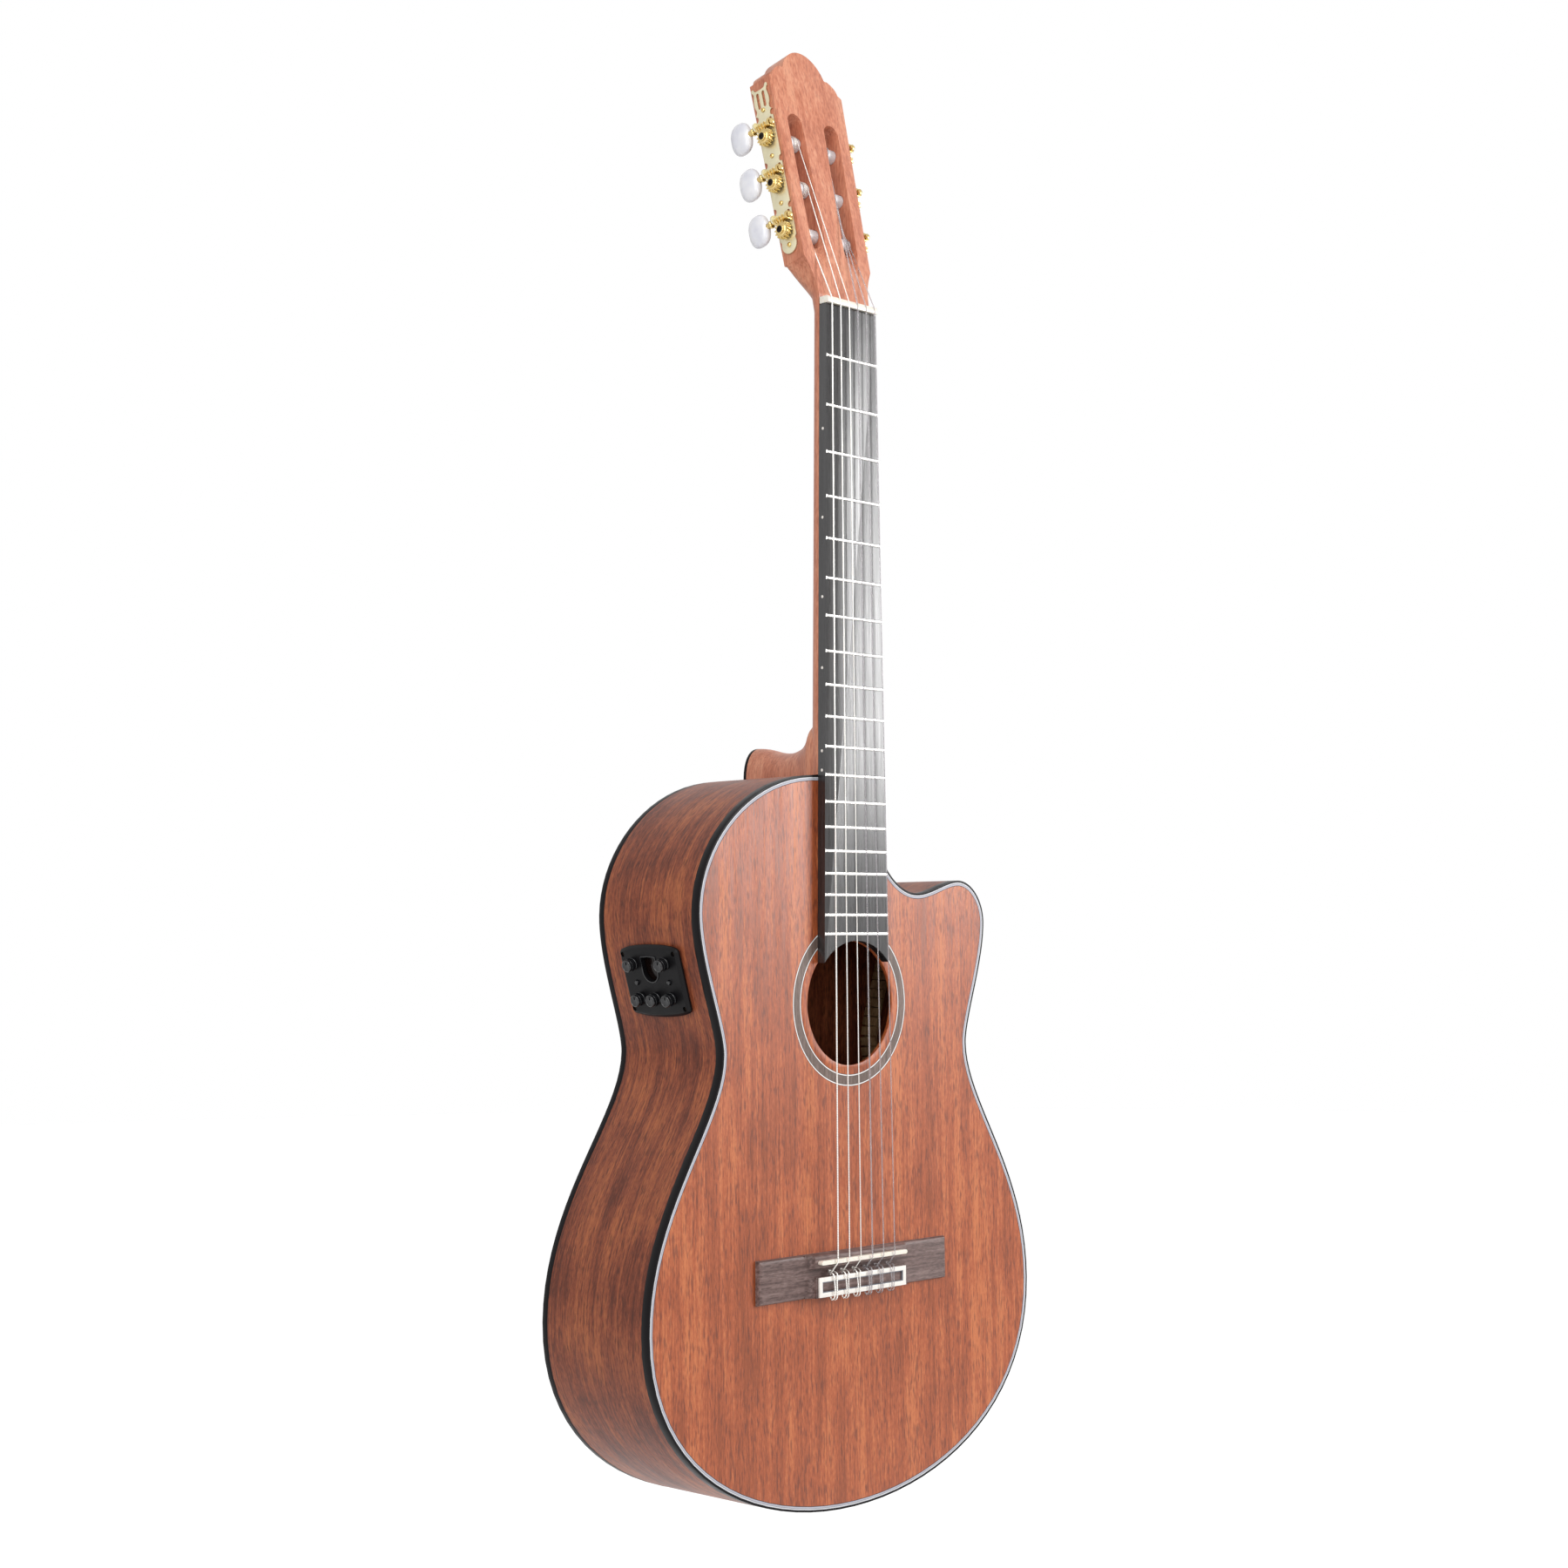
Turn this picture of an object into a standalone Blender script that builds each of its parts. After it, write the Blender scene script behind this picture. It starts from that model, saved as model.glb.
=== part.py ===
"""Acoustic-electric classical guitar with a cutaway, standing upright.

+Z runs up the neck, the front faces -Y and the treble side with the cutaway is +X. X = 0 is the
centre line, Z = 0 the tail of the body, and Y = 0 lies about half way through the whole depth.
Flat pieces are drawn in frames whose local z points out of the front of the guitar.
"""

import math

import bmesh
import bpy
from mathutils import Matrix, Vector
from mathutils.geometry import interpolate_bezier

MM = 0.001
GAP = 0.3 * MM

# Body
BODY_LENGTH = 496 * MM
SOUNDBOARD_Y = -48 * MM
LOWER_BOUT = 379 * MM
WAIST = 245 * MM
UPPER_BOUT = 288 * MM
LOWER_BOUT_Z = 135.5 * MM
WAIST_Z = 309.5 * MM
UPPER_BOUT_Z = 401.5 * MM
DEPTH_AT_TAIL = 105 * MM
DEPTH_AT_NECK = 94 * MM
SIDE_THICKNESS = 2.2 * MM
SOUNDBOARD_THICKNESS = 2.6 * MM
BACK_THICKNESS = 2.8 * MM
BINDING_WIDTH = 1.5 * MM
FRONT_BINDING_HEIGHT = 6.5 * MM
BACK_BINDING_HEIGHT = 5.0 * MM
LINING_WIDTH = 6 * MM
LINING_HEIGHT = 12 * MM
BACK_LINING_GAP = 0.8 * MM
BRACE_HALF_WIDTH = 2.8 * MM
BRACE_TAPER = 22 * MM
FAN_SPACING = 27 * MM
OUTLINE_STEPS = 7
HOLE_STEPS = 24

# Cutaway on the treble side
CUTAWAY_WALL_X = 28.5 * MM
CUTAWAY_WALL_END_Z = 461 * MM
CUTAWAY_DIP = (70.6 * MM, 416.4 * MM)
HORN_TOP = (116 * MM, 426 * MM)
HORN_SIDE_Z = 396 * MM

# Sound hole and rosette
HOLE_CENTRE_Z = 340.6 * MM
HOLE = (0, HOLE_CENTRE_Z)
HOLE_RADIUS = 42.5 * MM
ROSETTE_INNER = 48.7 * MM
ROSETTE_OUTER = 56.8 * MM
ROSETTE_THICKNESS = 1.2 * MM

# Neck and fretboard
SCALE_LENGTH = 650 * MM
FRET_COUNT = 19
NUT_Z = 821 * MM
NUT_LENGTH = 5 * MM
NUT_WIDTH = 51 * MM
NUT_SLOT_SLOPE = math.radians(8)
FRETBOARD_WIDTH_AT_NUT = 50.7 * MM
FRETBOARD_WIDTH_AT_12TH = 60.8 * MM
FRETBOARD_THICKNESS = 6.5 * MM
FRET_WIDTH = 2.2 * MM
FRET_HEIGHT = 1.0 * MM
NECK_DEPTH_AT_NUT = 14.2 * MM
NECK_DEPTH_AT_HEEL = 16.6 * MM
HEEL_DEPTH = 84 * MM
HEEL_CAP_THICKNESS = 2.5 * MM
# Arches of the heel in millimetres: depth behind the soundboard, half width, rise and roundness.
HEEL_ARCHES = (
    (0.0, 29.5, 36, 6), (12, 28.5, 36, 5), (15.5, 27.5, 33.5, 4), (20, 26, 29, 3.2), (29, 23.5, 23.0, 2.7),
    (44, 20.5, 19.0, 2.5), (60, 18, 19.5, 2.4), (75, 16.3, 23, 2.3), (84, 15.5, 24, 2.3),
)

# Headstock, measured along its own tilted face from the back of the nut
HEAD_TILT = math.radians(12.5)
HEAD_THICKNESS = 19.5 * MM
HEAD_FACE_DROP = 0.6 * MM
HEAD_SHOULDER = 29 * MM
HEAD_CORNER = 165.4 * MM
HEAD_PEAK = 192 * MM
HEAD_WIDTH_AT_SHOULDER = 67.7 * MM
HEAD_WIDTH_AT_CORNER = 74.4 * MM
SLOT_WIDTH = 14.7 * MM
SLOT_TOP = 140 * MM
SLOT_RAMP_START = 20 * MM
SLOT_RAMP_SLOPE = math.radians(24)
SLOT_THROUGH_START = 36 * MM
SLOT_CENTRE_AT_TOP = 18.7 * MM
SLOT_TAPER = (HEAD_WIDTH_AT_CORNER - HEAD_WIDTH_AT_SHOULDER) / 2 / (HEAD_CORNER - HEAD_SHOULDER)
# Sections of the shoulders in millimetres: place along the face, half width, depth and squareness.
SHOULDER_SECTIONS = (
    (31, 33.9, 19.5, 14), (28, 33.3, 19.4, 9), (25, 30.6, 19.0, 6), (21, 27.4, 18.2, 4), (15, 26.1, 17.2, 3),
    (6, 25.7, 15.9, 2.5),
)

# Tuning machines
TUNER_SPACING = 35 * MM
LOWEST_TUNER = 51.5 * MM
TUNER_AXIS_DEPTH = 10.2 * MM
PLATE_BOTTOM = 35 * MM
PLATE_TOP = 161 * MM
PLATE_WIDTH = 15.5 * MM
PLATE_THICKNESS = 1.2 * MM
LYRE_LOW = 146.5 * MM
LYRE_HIGH = 154.2 * MM
LYRE_SPACING = 2.9 * MM
LYRE_SLOT_WIDTH = 1.3 * MM
ROLLER_RADIUS = 5 * MM
ROLLER_END_X = 3.5 * MM
ROLLER_BORE_CLEARANCE = 0.3 * MM
AXLE_RADIUS = 2.5 * MM
GEAR_TEETH = 14
GEAR_OUTER = 6.4 * MM
GEAR_ROOT = 5.1 * MM
GEAR_WIDTH = 4 * MM
GEAR_STANDOFF = 4.6 * MM
WORM_DISTANCE = 8.2 * MM
WORM_OUTER = 2.6 * MM
WORM_PITCH_RADIUS = 2.2 * MM
WORM_TURNS = 3
WORM_JOURNAL = 1.3 * MM
EAR_X = 6.9 * MM
EAR_THICKNESS = 1.5 * MM
EAR_HALF_HEIGHT = 2.1 * MM
STEM_RADIUS = 1.6 * MM
STEM_END = 18.5 * MM
BUTTON_CENTRE = 21.3 * MM
BUTTON_ROUNDNESS = 0.62
BUTTON_HALF = (4.2 * MM, 11.3 * MM, 9.0 * MM)

# Bridge, saddle and strings
BRIDGE_LENGTH = 188 * MM
BRIDGE_TOP_Z = 174 * MM
BRIDGE_WIDTH = 29.3 * MM
BLOCK_LENGTH = 91 * MM
WING_HEIGHT = 3.6 * MM
SADDLE_BLOCK_HEIGHT = 8.6 * MM
SADDLE_Z = 168.6 * MM
SADDLE_LENGTH = 86 * MM
SADDLE_THICKNESS = 2.8 * MM
SADDLE_TOP = 12.8 * MM
SADDLE_SLOT_FLOOR = 2 * MM
PICKUP_THICKNESS = 1.3 * MM
PICKUP_HALF_LENGTH = 36 * MM
TROUGH_FLOOR = 3.6 * MM
TIE_BLOCK_START_Z = 159.1 * MM
TIE_BLOCK_HEIGHT = 8.9 * MM
TIE_HOLE_HEIGHT = 6.1 * MM
TIE_FRAME_HEIGHT = 1.4 * MM
TIE_FRAME_LENGTH = 87 * MM
TIE_FRAME_BORDER = 3.7 * MM
STRING_SPREAD_AT_NUT = 43.5 * MM
STRING_SPREAD_AT_SADDLE = 57.4 * MM
STRING_HEIGHT_AT_NUT = 8.8 * MM
STRING_RADII = (0.36 * MM, 0.42 * MM, 0.52 * MM, 0.38 * MM, 0.45 * MM, 0.55 * MM)
WRAP_TURNS = 2.5
WRAP_STEPS = 10
WRAP_SPACE = 0.45 * MM
WRAP_CLEARANCE = 0.15 * MM
NEAR_ALONG = 6 * MM
FREE_LENGTH = 20 * MM
# Distance from the centre line where a string reaches its roller, and 1 where it winds outwards.
STRING_ARRIVALS = ((21.6 * MM, -1), (12.4 * MM, 1), (14.3 * MM, 1))

# Preamp on the bass side
PREAMP_Z = 358.5 * MM
PREAMP_Y = -0.7 * MM
PANEL_HALF_WIDTH = 28 * MM
PANEL_HALF_HEIGHT = 21.5 * MM
PANEL_BOW = 3.6 * MM
PANEL_THICKNESS = 3.0 * MM
PANEL_STANDOFF = 1.3 * MM
SCREW_X = 24.6 * MM
SCREW_Y = 19.2 * MM
HOUSING_WIDTH = 45 * MM
HOUSING_HEIGHT = 39 * MM
HOUSING_DEPTH = 60 * MM
BATTERY_SIZE = (26.5 * MM, 17.5 * MM, 48.5 * MM)
HOUSING_WALL = 1.4 * MM
KNOB_RADIUS = 4.3 * MM
KNOB_HEIGHT = 7.5 * MM
KNOB_FOOT = 0.4 * MM
KNOB_STEM_RADIUS = 1.5 * MM
KNOB_RIBS = 10
KNOB_GROOVE = 0.5 * MM
KNOB_PLACES = ((-15.2, 12.5), (15.2, 12.5), (-14.7, -11.5), (0.0, -11.5), (14.7, -11.5))
PUSH_BUTTON_RADIUS = 1.5 * MM
PUSH_BUTTON_PLACES = ((-15.3, -0.5), (15.3, -0.5))
PUSH_BUTTON_PROUD = 1.6 * MM
WINDOW_CENTRE = (-0.5 * MM, 6.6 * MM)
WINDOW_RADIUS = 6.7 * MM
WINDOW_TOP = 17 * MM
LENS_RIM = 0.8 * MM
LENS_THICKNESS = 1.2 * MM

# Output jack at the tail
JACK_Y = 3 * MM
JACK_FLANGE_RADIUS = 9 * MM
JACK_TUBE_RADIUS = 4.7 * MM
JACK_BORE_RADIUS = 3.2 * MM
JACK_INSIDE = 34 * MM

HALF_TURN = math.pi
BACK_SLOPE = math.atan((DEPTH_AT_TAIL - DEPTH_AT_NECK) / BODY_LENGTH)
FRONT = Matrix.Translation((0, SOUNDBOARD_Y, 0)) @ Matrix.Rotation(math.radians(90), 4, "X")
BACK = Matrix.Translation((0, SOUNDBOARD_Y + DEPTH_AT_TAIL, 0)) @ Matrix.Rotation(
    math.radians(90) + BACK_SLOPE, 4, "X"
)
HEAD = Matrix.Translation((0, SOUNDBOARD_Y - HEAD_FACE_DROP, NUT_Z + NUT_LENGTH)) @ Matrix.Rotation(
    math.radians(90) - HEAD_TILT, 4, "X"
)

parts = None
cutters = None
materials = {}


# Scene and materials


def clear_scene():
    for obj in list(bpy.data.objects):
        bpy.data.objects.remove(obj, do_unlink=True)


def make_collection(name, hidden=False):
    collection = bpy.data.collections.new(name)
    bpy.context.scene.collection.children.link(collection)
    collection.hide_render = hidden
    return collection


def material(name, colour, roughness, metallic=0.0):
    made = bpy.data.materials.new(name)
    made.use_nodes = True
    shader = made.node_tree.nodes["Principled BSDF"]
    shader.inputs["Base Color"].default_value = (*colour, 1.0)
    shader.inputs["Roughness"].default_value = roughness
    shader.inputs["Metallic"].default_value = metallic
    made.diffuse_color = (*colour, 1.0)
    materials[name] = made
    return made


def make_materials():
    material("mahogany_top", (0.47, 0.17, 0.08), 0.45)
    material("mahogany_sides", (0.36, 0.12, 0.06), 0.45)
    material("mahogany_neck", (0.45, 0.17, 0.09), 0.5)
    material("spruce_inside", (0.62, 0.43, 0.24), 0.7)
    material("ebony", (0.015, 0.014, 0.016), 0.4)
    material("rosewood", (0.11, 0.065, 0.055), 0.5)
    material("black_binding", (0.012, 0.012, 0.014), 0.3)
    material("grey_band", (0.13, 0.10, 0.08), 0.5)
    material("bone", (0.85, 0.82, 0.75), 0.35)
    material("white_inlay", (0.88, 0.86, 0.82), 0.35)
    material("pale_gold", (0.72, 0.66, 0.42), 0.35, 1.0)
    material("gold", (0.80, 0.58, 0.24), 0.25, 1.0)
    material("pearl_white", (0.86, 0.87, 0.90), 0.2)
    material("nylon_white", (0.85, 0.85, 0.86), 0.35)
    material("wound_silver", (0.75, 0.75, 0.76), 0.35, 0.6)
    material("clear_nylon", (0.75, 0.78, 0.84), 0.2)
    material("black_plastic", (0.014, 0.014, 0.016), 0.4)
    material("display", (0.01, 0.008, 0.01), 0.1)
    material("battery_grey", (0.18, 0.18, 0.2), 0.4, 0.5)


# Shape helpers


def place(obj, name, frame, paint, hidden=False):
    """Gives an object its name, collection, place and material."""
    obj.name = name
    obj.data.name = name
    obj.matrix_world = frame
    if hidden:
        obj.hide_render = True
        obj.display_type = "WIRE"
        cutters.objects.link(obj)
        return obj
    obj.data.materials.clear()
    obj.data.materials.append(materials[paint])
    parts.objects.link(obj)
    return obj


def flat_curve(loops, low, high):
    """A 2D curve with one loop for each edge or hole, thick from local z = low to high."""
    curve = bpy.data.curves.new("outline", "CURVE")
    curve.dimensions = "2D"
    curve.fill_mode = "BOTH"
    curve.extrude = (high - low) / 2
    for loop in loops:
        spline = curve.splines.new("POLY")
        spline.points.add(len(loop) - 1)
        for point, (x, y) in zip(spline.points, loop):
            point.co = (x, y, 0, 1)
        spline.use_cyclic_u = True
    obj = bpy.data.objects.new("outline", curve)
    return obj, Matrix.Translation((0, 0, (low + high) / 2))


def curve_to_mesh(obj):
    """A welded mesh object made from a curve object, which is removed."""
    bpy.context.scene.collection.objects.link(obj)
    graph = bpy.context.evaluated_depsgraph_get()
    mesh = bpy.data.meshes.new_from_object(obj.evaluated_get(graph))
    bm = bmesh.new()
    bm.from_mesh(mesh)
    bmesh.ops.remove_doubles(bm, verts=bm.verts, dist=0.00001)
    bmesh.ops.recalc_face_normals(bm, faces=bm.faces)
    bm.to_mesh(mesh)
    bm.free()
    made = bpy.data.objects.new("mesh", mesh)
    made.matrix_world = obj.matrix_world
    bpy.data.objects.remove(obj, do_unlink=True)
    return made


def plate(name, loops, low, high, frame, paint, hidden=False):
    """A flat piece of one thickness, as a mesh that can be cut."""
    obj, middle = flat_curve(loops, low, high)
    return place(curve_to_mesh(obj), name, frame @ middle, paint, hidden)


def mesh_object(name, bm, frame, paint, hidden=False, smooth_angle=40):
    bmesh.ops.recalc_face_normals(bm, faces=bm.faces)
    mesh = bpy.data.meshes.new(name)
    bm.to_mesh(mesh)
    bm.free()
    mesh.shade_smooth()
    mesh.set_sharp_from_angle(angle=math.radians(smooth_angle))
    return place(bpy.data.objects.new(name, mesh), name, frame, paint, hidden)


def box(name, low, high, frame, paint, hidden=False):
    bm = bmesh.new()
    bmesh.ops.create_cube(bm, size=1.0)
    size = [b - a for a, b in zip(low, high)]
    middle = [(a + b) / 2 for a, b in zip(low, high)]
    stretched = Matrix.Translation(middle) @ Matrix.Diagonal((*size, 1))
    bmesh.ops.transform(bm, matrix=stretched, verts=bm.verts)
    return mesh_object(name, bm, frame, paint, hidden)


def cylinder(name, radius, low, high, frame, paint, hidden=False, sides=24):
    """A cylinder along local z from low to high."""
    bm = bmesh.new()
    bmesh.ops.create_cone(
        bm, cap_ends=True, segments=sides, radius1=radius, radius2=radius, depth=high - low,
        matrix=Matrix.Translation((0, 0, (low + high) / 2)),
    )
    return mesh_object(name, bm, frame, paint, hidden)


def turned(name, profile, frame, paint, steps=16, hidden=False):
    """A solid of revolution about local z. The profile runs from the top of the axis to its bottom."""
    mesh = bpy.data.meshes.new(name)
    bm = bmesh.new()
    points = [bm.verts.new((radius, 0, z)) for radius, z in profile]
    for a, b in zip(points, points[1:]):
        bm.edges.new((a, b))
    bm.to_mesh(mesh)
    bm.free()
    obj = place(bpy.data.objects.new(name, mesh), name, frame, paint, hidden)
    screw = obj.modifiers.new("turn", "SCREW")
    screw.steps = steps
    screw.render_steps = steps
    screw.use_merge_vertices = True
    screw.merge_threshold = 0.00001
    screw.use_smooth_shade = True
    return obj


def loft(name, rings, frame, paint, hidden=False):
    """A closed solid through rings of equal point count, capped at both ends."""
    bm = bmesh.new()
    rows = [[bm.verts.new(point) for point in ring] for ring in rings]
    for first, second in zip(rows, rows[1:]):
        for i in range(len(first)):
            j = (i + 1) % len(first)
            bm.faces.new((first[i], first[j], second[j], second[i]))
    bm.faces.new(rows[0])
    bm.faces.new(rows[-1])
    return mesh_object(name, bm, frame, paint, hidden)


def boolean(target, other, operation="DIFFERENCE"):
    modifier = target.modifiers.new(operation.lower(), "BOOLEAN")
    modifier.operation = operation
    modifier.solver = "EXACT"
    modifier.object = other
    return target


def bevel(obj, width, segments=2, angle=40):
    modifier = obj.modifiers.new("bevel", "BEVEL")
    modifier.width = width
    modifier.segments = segments
    modifier.limit_method = "ANGLE"
    modifier.angle_limit = math.radians(angle)
    return obj


def tube(name, points, radius, frame, paint, sides=2):
    """A round wire through points, with closed ends."""
    curve = bpy.data.curves.new(name, "CURVE")
    curve.dimensions = "3D"
    curve.bevel_depth = radius
    curve.bevel_resolution = sides
    curve.use_fill_caps = True
    spline = curve.splines.new("POLY")
    spline.points.add(len(points) - 1)
    for point, place_at in zip(spline.points, points):
        point.co = (*place_at, 1)
    return place(bpy.data.objects.new(name, curve), name, frame, paint)


def arc(centre, radius, start, end, steps):
    """Points on a circle from start to end, in degrees, both ends included."""
    turns = [math.radians(start + (end - start) * i / steps) for i in range(steps + 1)]
    return [(centre[0] + radius * math.cos(t), centre[1] + radius * math.sin(t)) for t in turns]


def circle(centre, radius, steps):
    return arc(centre, radius, 0, 360, steps)[:-1]


def rectangle(x0, y0, x1, y1):
    return [(x0, y0), (x1, y0), (x1, y1), (x0, y1)]


def capsule(x, low, high, width, steps=6):
    """An upright slot with round ends."""
    r = width / 2
    return arc((x, high - r), r, 0, 180, steps) + arc((x, low + r), r, 180, 360, steps)


def bezier(start, start_handle, end_handle, end, steps):
    """Points of one curve piece without its last point. Handles are offsets from their ends."""
    a = Vector((*start, 0))
    b = Vector((*end, 0))
    h1 = a + Vector((*start_handle, 0))
    h2 = b + Vector((*end_handle, 0))
    return [(p.x, p.y) for p in interpolate_bezier(a, h1, h2, b, steps + 1)][:-1]


# Body outline


def lower_half(side):
    """From the waist to the tail on one side: side is -1 for the bass and +1 for the treble."""
    waist = (side * WAIST / 2, WAIST_Z)
    lower = (side * LOWER_BOUT / 2, LOWER_BOUT_Z)
    points = bezier(waist, (0, -43 * MM), (0, 80 * MM), lower, OUTLINE_STEPS)
    points += bezier(lower, (0, -89 * MM), (side * 98 * MM, 0), (0, 0), OUTLINE_STEPS + 3)
    return points


def body_outline():
    """The whole outline as (x, z), clockwise from the bass side of the neck joint."""
    bass_upper = (-UPPER_BOUT / 2, UPPER_BOUT_Z)
    bass_waist = (-WAIST / 2, WAIST_Z)
    neck_bass = (-CUTAWAY_WALL_X, BODY_LENGTH)
    bass = bezier(neck_bass, (-67 * MM, 0), (0, 47 * MM), bass_upper, OUTLINE_STEPS)
    bass += bezier(bass_upper, (0, -31 * MM), (0, 18 * MM), bass_waist, OUTLINE_STEPS - 1)
    bass += lower_half(-1)
    horn_side = (UPPER_BOUT / 2, HORN_SIDE_Z)
    wall_end = (CUTAWAY_WALL_X, CUTAWAY_WALL_END_Z)
    treble = [(CUTAWAY_WALL_X, BODY_LENGTH)]
    treble += bezier(wall_end, (0, -22 * MM), (-22 * MM, 0), CUTAWAY_DIP, OUTLINE_STEPS - 2)
    treble += bezier(CUTAWAY_DIP, (16 * MM, 0), (-14 * MM, 0), HORN_TOP, OUTLINE_STEPS - 4)
    treble += bezier(HORN_TOP, (15 * MM, 0), (0, 16 * MM), horn_side, OUTLINE_STEPS - 3)
    treble += bezier(horn_side, (0, -28 * MM), (0, 18 * MM), (WAIST / 2, WAIST_Z), OUTLINE_STEPS - 1)
    treble += lower_half(1)
    return bass + [(0, 0)] + treble[::-1]


def inset(loop, distance):
    """The loop moved inwards by a distance, with mitred corners."""
    area = sum(a[0] * b[1] - b[0] * a[1] for a, b in zip(loop, loop[1:] + loop[:1]))
    inward = 1 if area > 0 else -1
    moved = []
    for before, here, after in zip(loop[-1:] + loop[:-1], loop, loop[1:] + loop[:1]):
        first = Vector((here[0] - before[0], here[1] - before[1])).normalized()
        second = Vector((after[0] - here[0], after[1] - here[1])).normalized()
        normal = Vector((-first.y - second.y, first.x + second.x)).normalized() * inward
        reach = distance / normal.dot(Vector((-first.y, first.x)) * inward)
        moved.append((here[0] + normal.x * reach, here[1] + normal.y * reach))
    return moved


def ring(outer, inner):
    outline = body_outline()
    return [inset(outline, outer) if outer else outline, inset(outline, inner)]


# Body


def make_shell():
    """Soundboard, back, sides, linings and bindings."""
    inner_edge = inset(body_outline(), BINDING_WIDTH + GAP)
    top_loops = [inner_edge, circle(HOLE, HOLE_RADIUS, HOLE_STEPS)]
    top = plate("soundboard", top_loops, -SOUNDBOARD_THICKNESS, 0, FRONT, "mahogany_top")
    groove = [circle(HOLE, radius, HOLE_STEPS) for radius in (ROSETTE_OUTER + GAP, ROSETTE_INNER - GAP)]
    boolean(top, plate("rosette_groove", groove, -ROSETTE_THICKNESS - GAP, 2 * MM, FRONT, None, True))
    rosette = [circle(HOLE, radius, HOLE_STEPS) for radius in (ROSETTE_OUTER, ROSETTE_INNER)]
    plate("rosette", rosette, -ROSETTE_THICKNESS, 0, FRONT, "grey_band")
    plate("back_plate", [inner_edge], 0, BACK_THICKNESS, BACK, "mahogany_sides")
    plate("front_binding", ring(0, BINDING_WIDTH), -FRONT_BINDING_HEIGHT, 0, FRONT, "black_binding")
    plate("back_binding", ring(0, BINDING_WIDTH), 0, BACK_BINDING_HEIGHT, BACK, "black_binding")
    lining = ring(SIDE_THICKNESS + GAP, SIDE_THICKNESS + GAP + LINING_WIDTH)
    under_top = -SOUNDBOARD_THICKNESS - GAP
    plate("front_lining", lining, under_top - LINING_HEIGHT, under_top, FRONT, "spruce_inside")
    over_back = BACK_THICKNESS + GAP
    leaning = ring(SIDE_THICKNESS + BACK_LINING_GAP, SIDE_THICKNESS + BACK_LINING_GAP + LINING_WIDTH)
    plate("back_lining", leaning, over_back, over_back + LINING_HEIGHT, BACK, "spruce_inside")
    rim_low = -DEPTH_AT_TAIL - 5 * MM
    rim_high = -FRONT_BINDING_HEIGHT - GAP
    sides = plate("sides", ring(0, SIDE_THICKNESS), rim_low, rim_high, FRONT, "mahogany_sides")
    boolean(sides, behind("back_cutter", BACK_BINDING_HEIGHT + GAP))
    across = HOUSING_WIDTH / 2 + GAP
    up = HOUSING_HEIGHT / 2 + GAP
    opening = box("preamp_hole", (-across, -up, -12 * MM), (across, up, 12 * MM), preamp_frame(), None, True)
    boolean(sides, opening)
    tail = Matrix.Translation((0, JACK_Y, 0))
    boolean(sides, cylinder("jack_hole", JACK_TUBE_RADIUS + GAP, -8 * MM, 60 * MM, tail, None, True))


def behind(name, height):
    """A cutter for all that lies behind a plane which stands this high inside the back."""
    return box(name, (-0.3, -0.1, -0.06), (0.3, 0.7, height), BACK, None, True)


def block_body(name, loop, paint):
    """An end block: its outline fills the space between the linings, and its middle runs from top to back."""
    front_low = -DEPTH_AT_TAIL
    under_top = -SOUNDBOARD_THICKNESS - GAP
    block = plate(name, [loop], front_low, under_top - 2 * GAP, FRONT, paint)
    edge = ring(-10 * MM, SIDE_THICKNESS + BACK_LINING_GAP + GAP + LINING_WIDTH)
    lining_end = under_top - LINING_HEIGHT - GAP
    front_notch = plate(name + "_front_notch", edge, lining_end, 0, FRONT, None, True)
    back_top = BACK_THICKNESS + GAP
    lining_end = back_top + LINING_HEIGHT + GAP
    back_notch = plate(name + "_back_notch", edge, -20 * MM, lining_end, BACK, None, True)
    for cutter in (front_notch, back_notch, behind(name + "_back_face", back_top)):
        boolean(block, cutter)
    return block


def make_blocks():
    wall = SIDE_THICKNESS + GAP
    half = 34 * MM
    sag = 4.2 * MM
    top = 22 * MM
    curved = [
        (-half, wall + sag), (-half / 2, wall + sag / 3), (0, wall + 0.4 * MM),
        (half / 2, wall + sag / 3), (half, wall + sag),
    ]
    tail = block_body("tail_block", curved + [(half, top), (-half, top)], "mahogany_neck")
    boolean(tail, bpy.data.objects["jack_hole"])
    left = -36 * MM
    right = CUTAWAY_WALL_X - wall
    high = BODY_LENGTH - wall
    low = BODY_LENGTH - 33 * MM
    corners = [(left, high - 0.6 * MM), (right, high), (right, low), (left, low)]
    block_body("neck_block", corners, "mahogany_neck")


def brace(name, centre, length, angle, height, frame, base, paint, hidden=False):
    """A glued strut with a rounded top: it grows from local z = base by height, which may be negative."""
    half = BRACE_HALF_WIDTH
    shoulder = height * 0.6
    profile = [(-half, 0), (half, 0), (half * 0.9, shoulder), (0, height), (-half * 0.9, shoulder)]
    end = length / 2
    full = end - BRACE_TAPER
    rings = []
    for y, scale in ((-end, 0.35), (-full, 1.0), (full, 1.0), (end, 0.35)):
        rings.append([Vector((x, y, z * scale)) for x, z in profile])
    turn = Matrix.Translation((*centre, base)) @ Matrix.Rotation(math.radians(angle), 4, "Z")
    return loft(name, rings, frame @ turn, paint, hidden)


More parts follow.
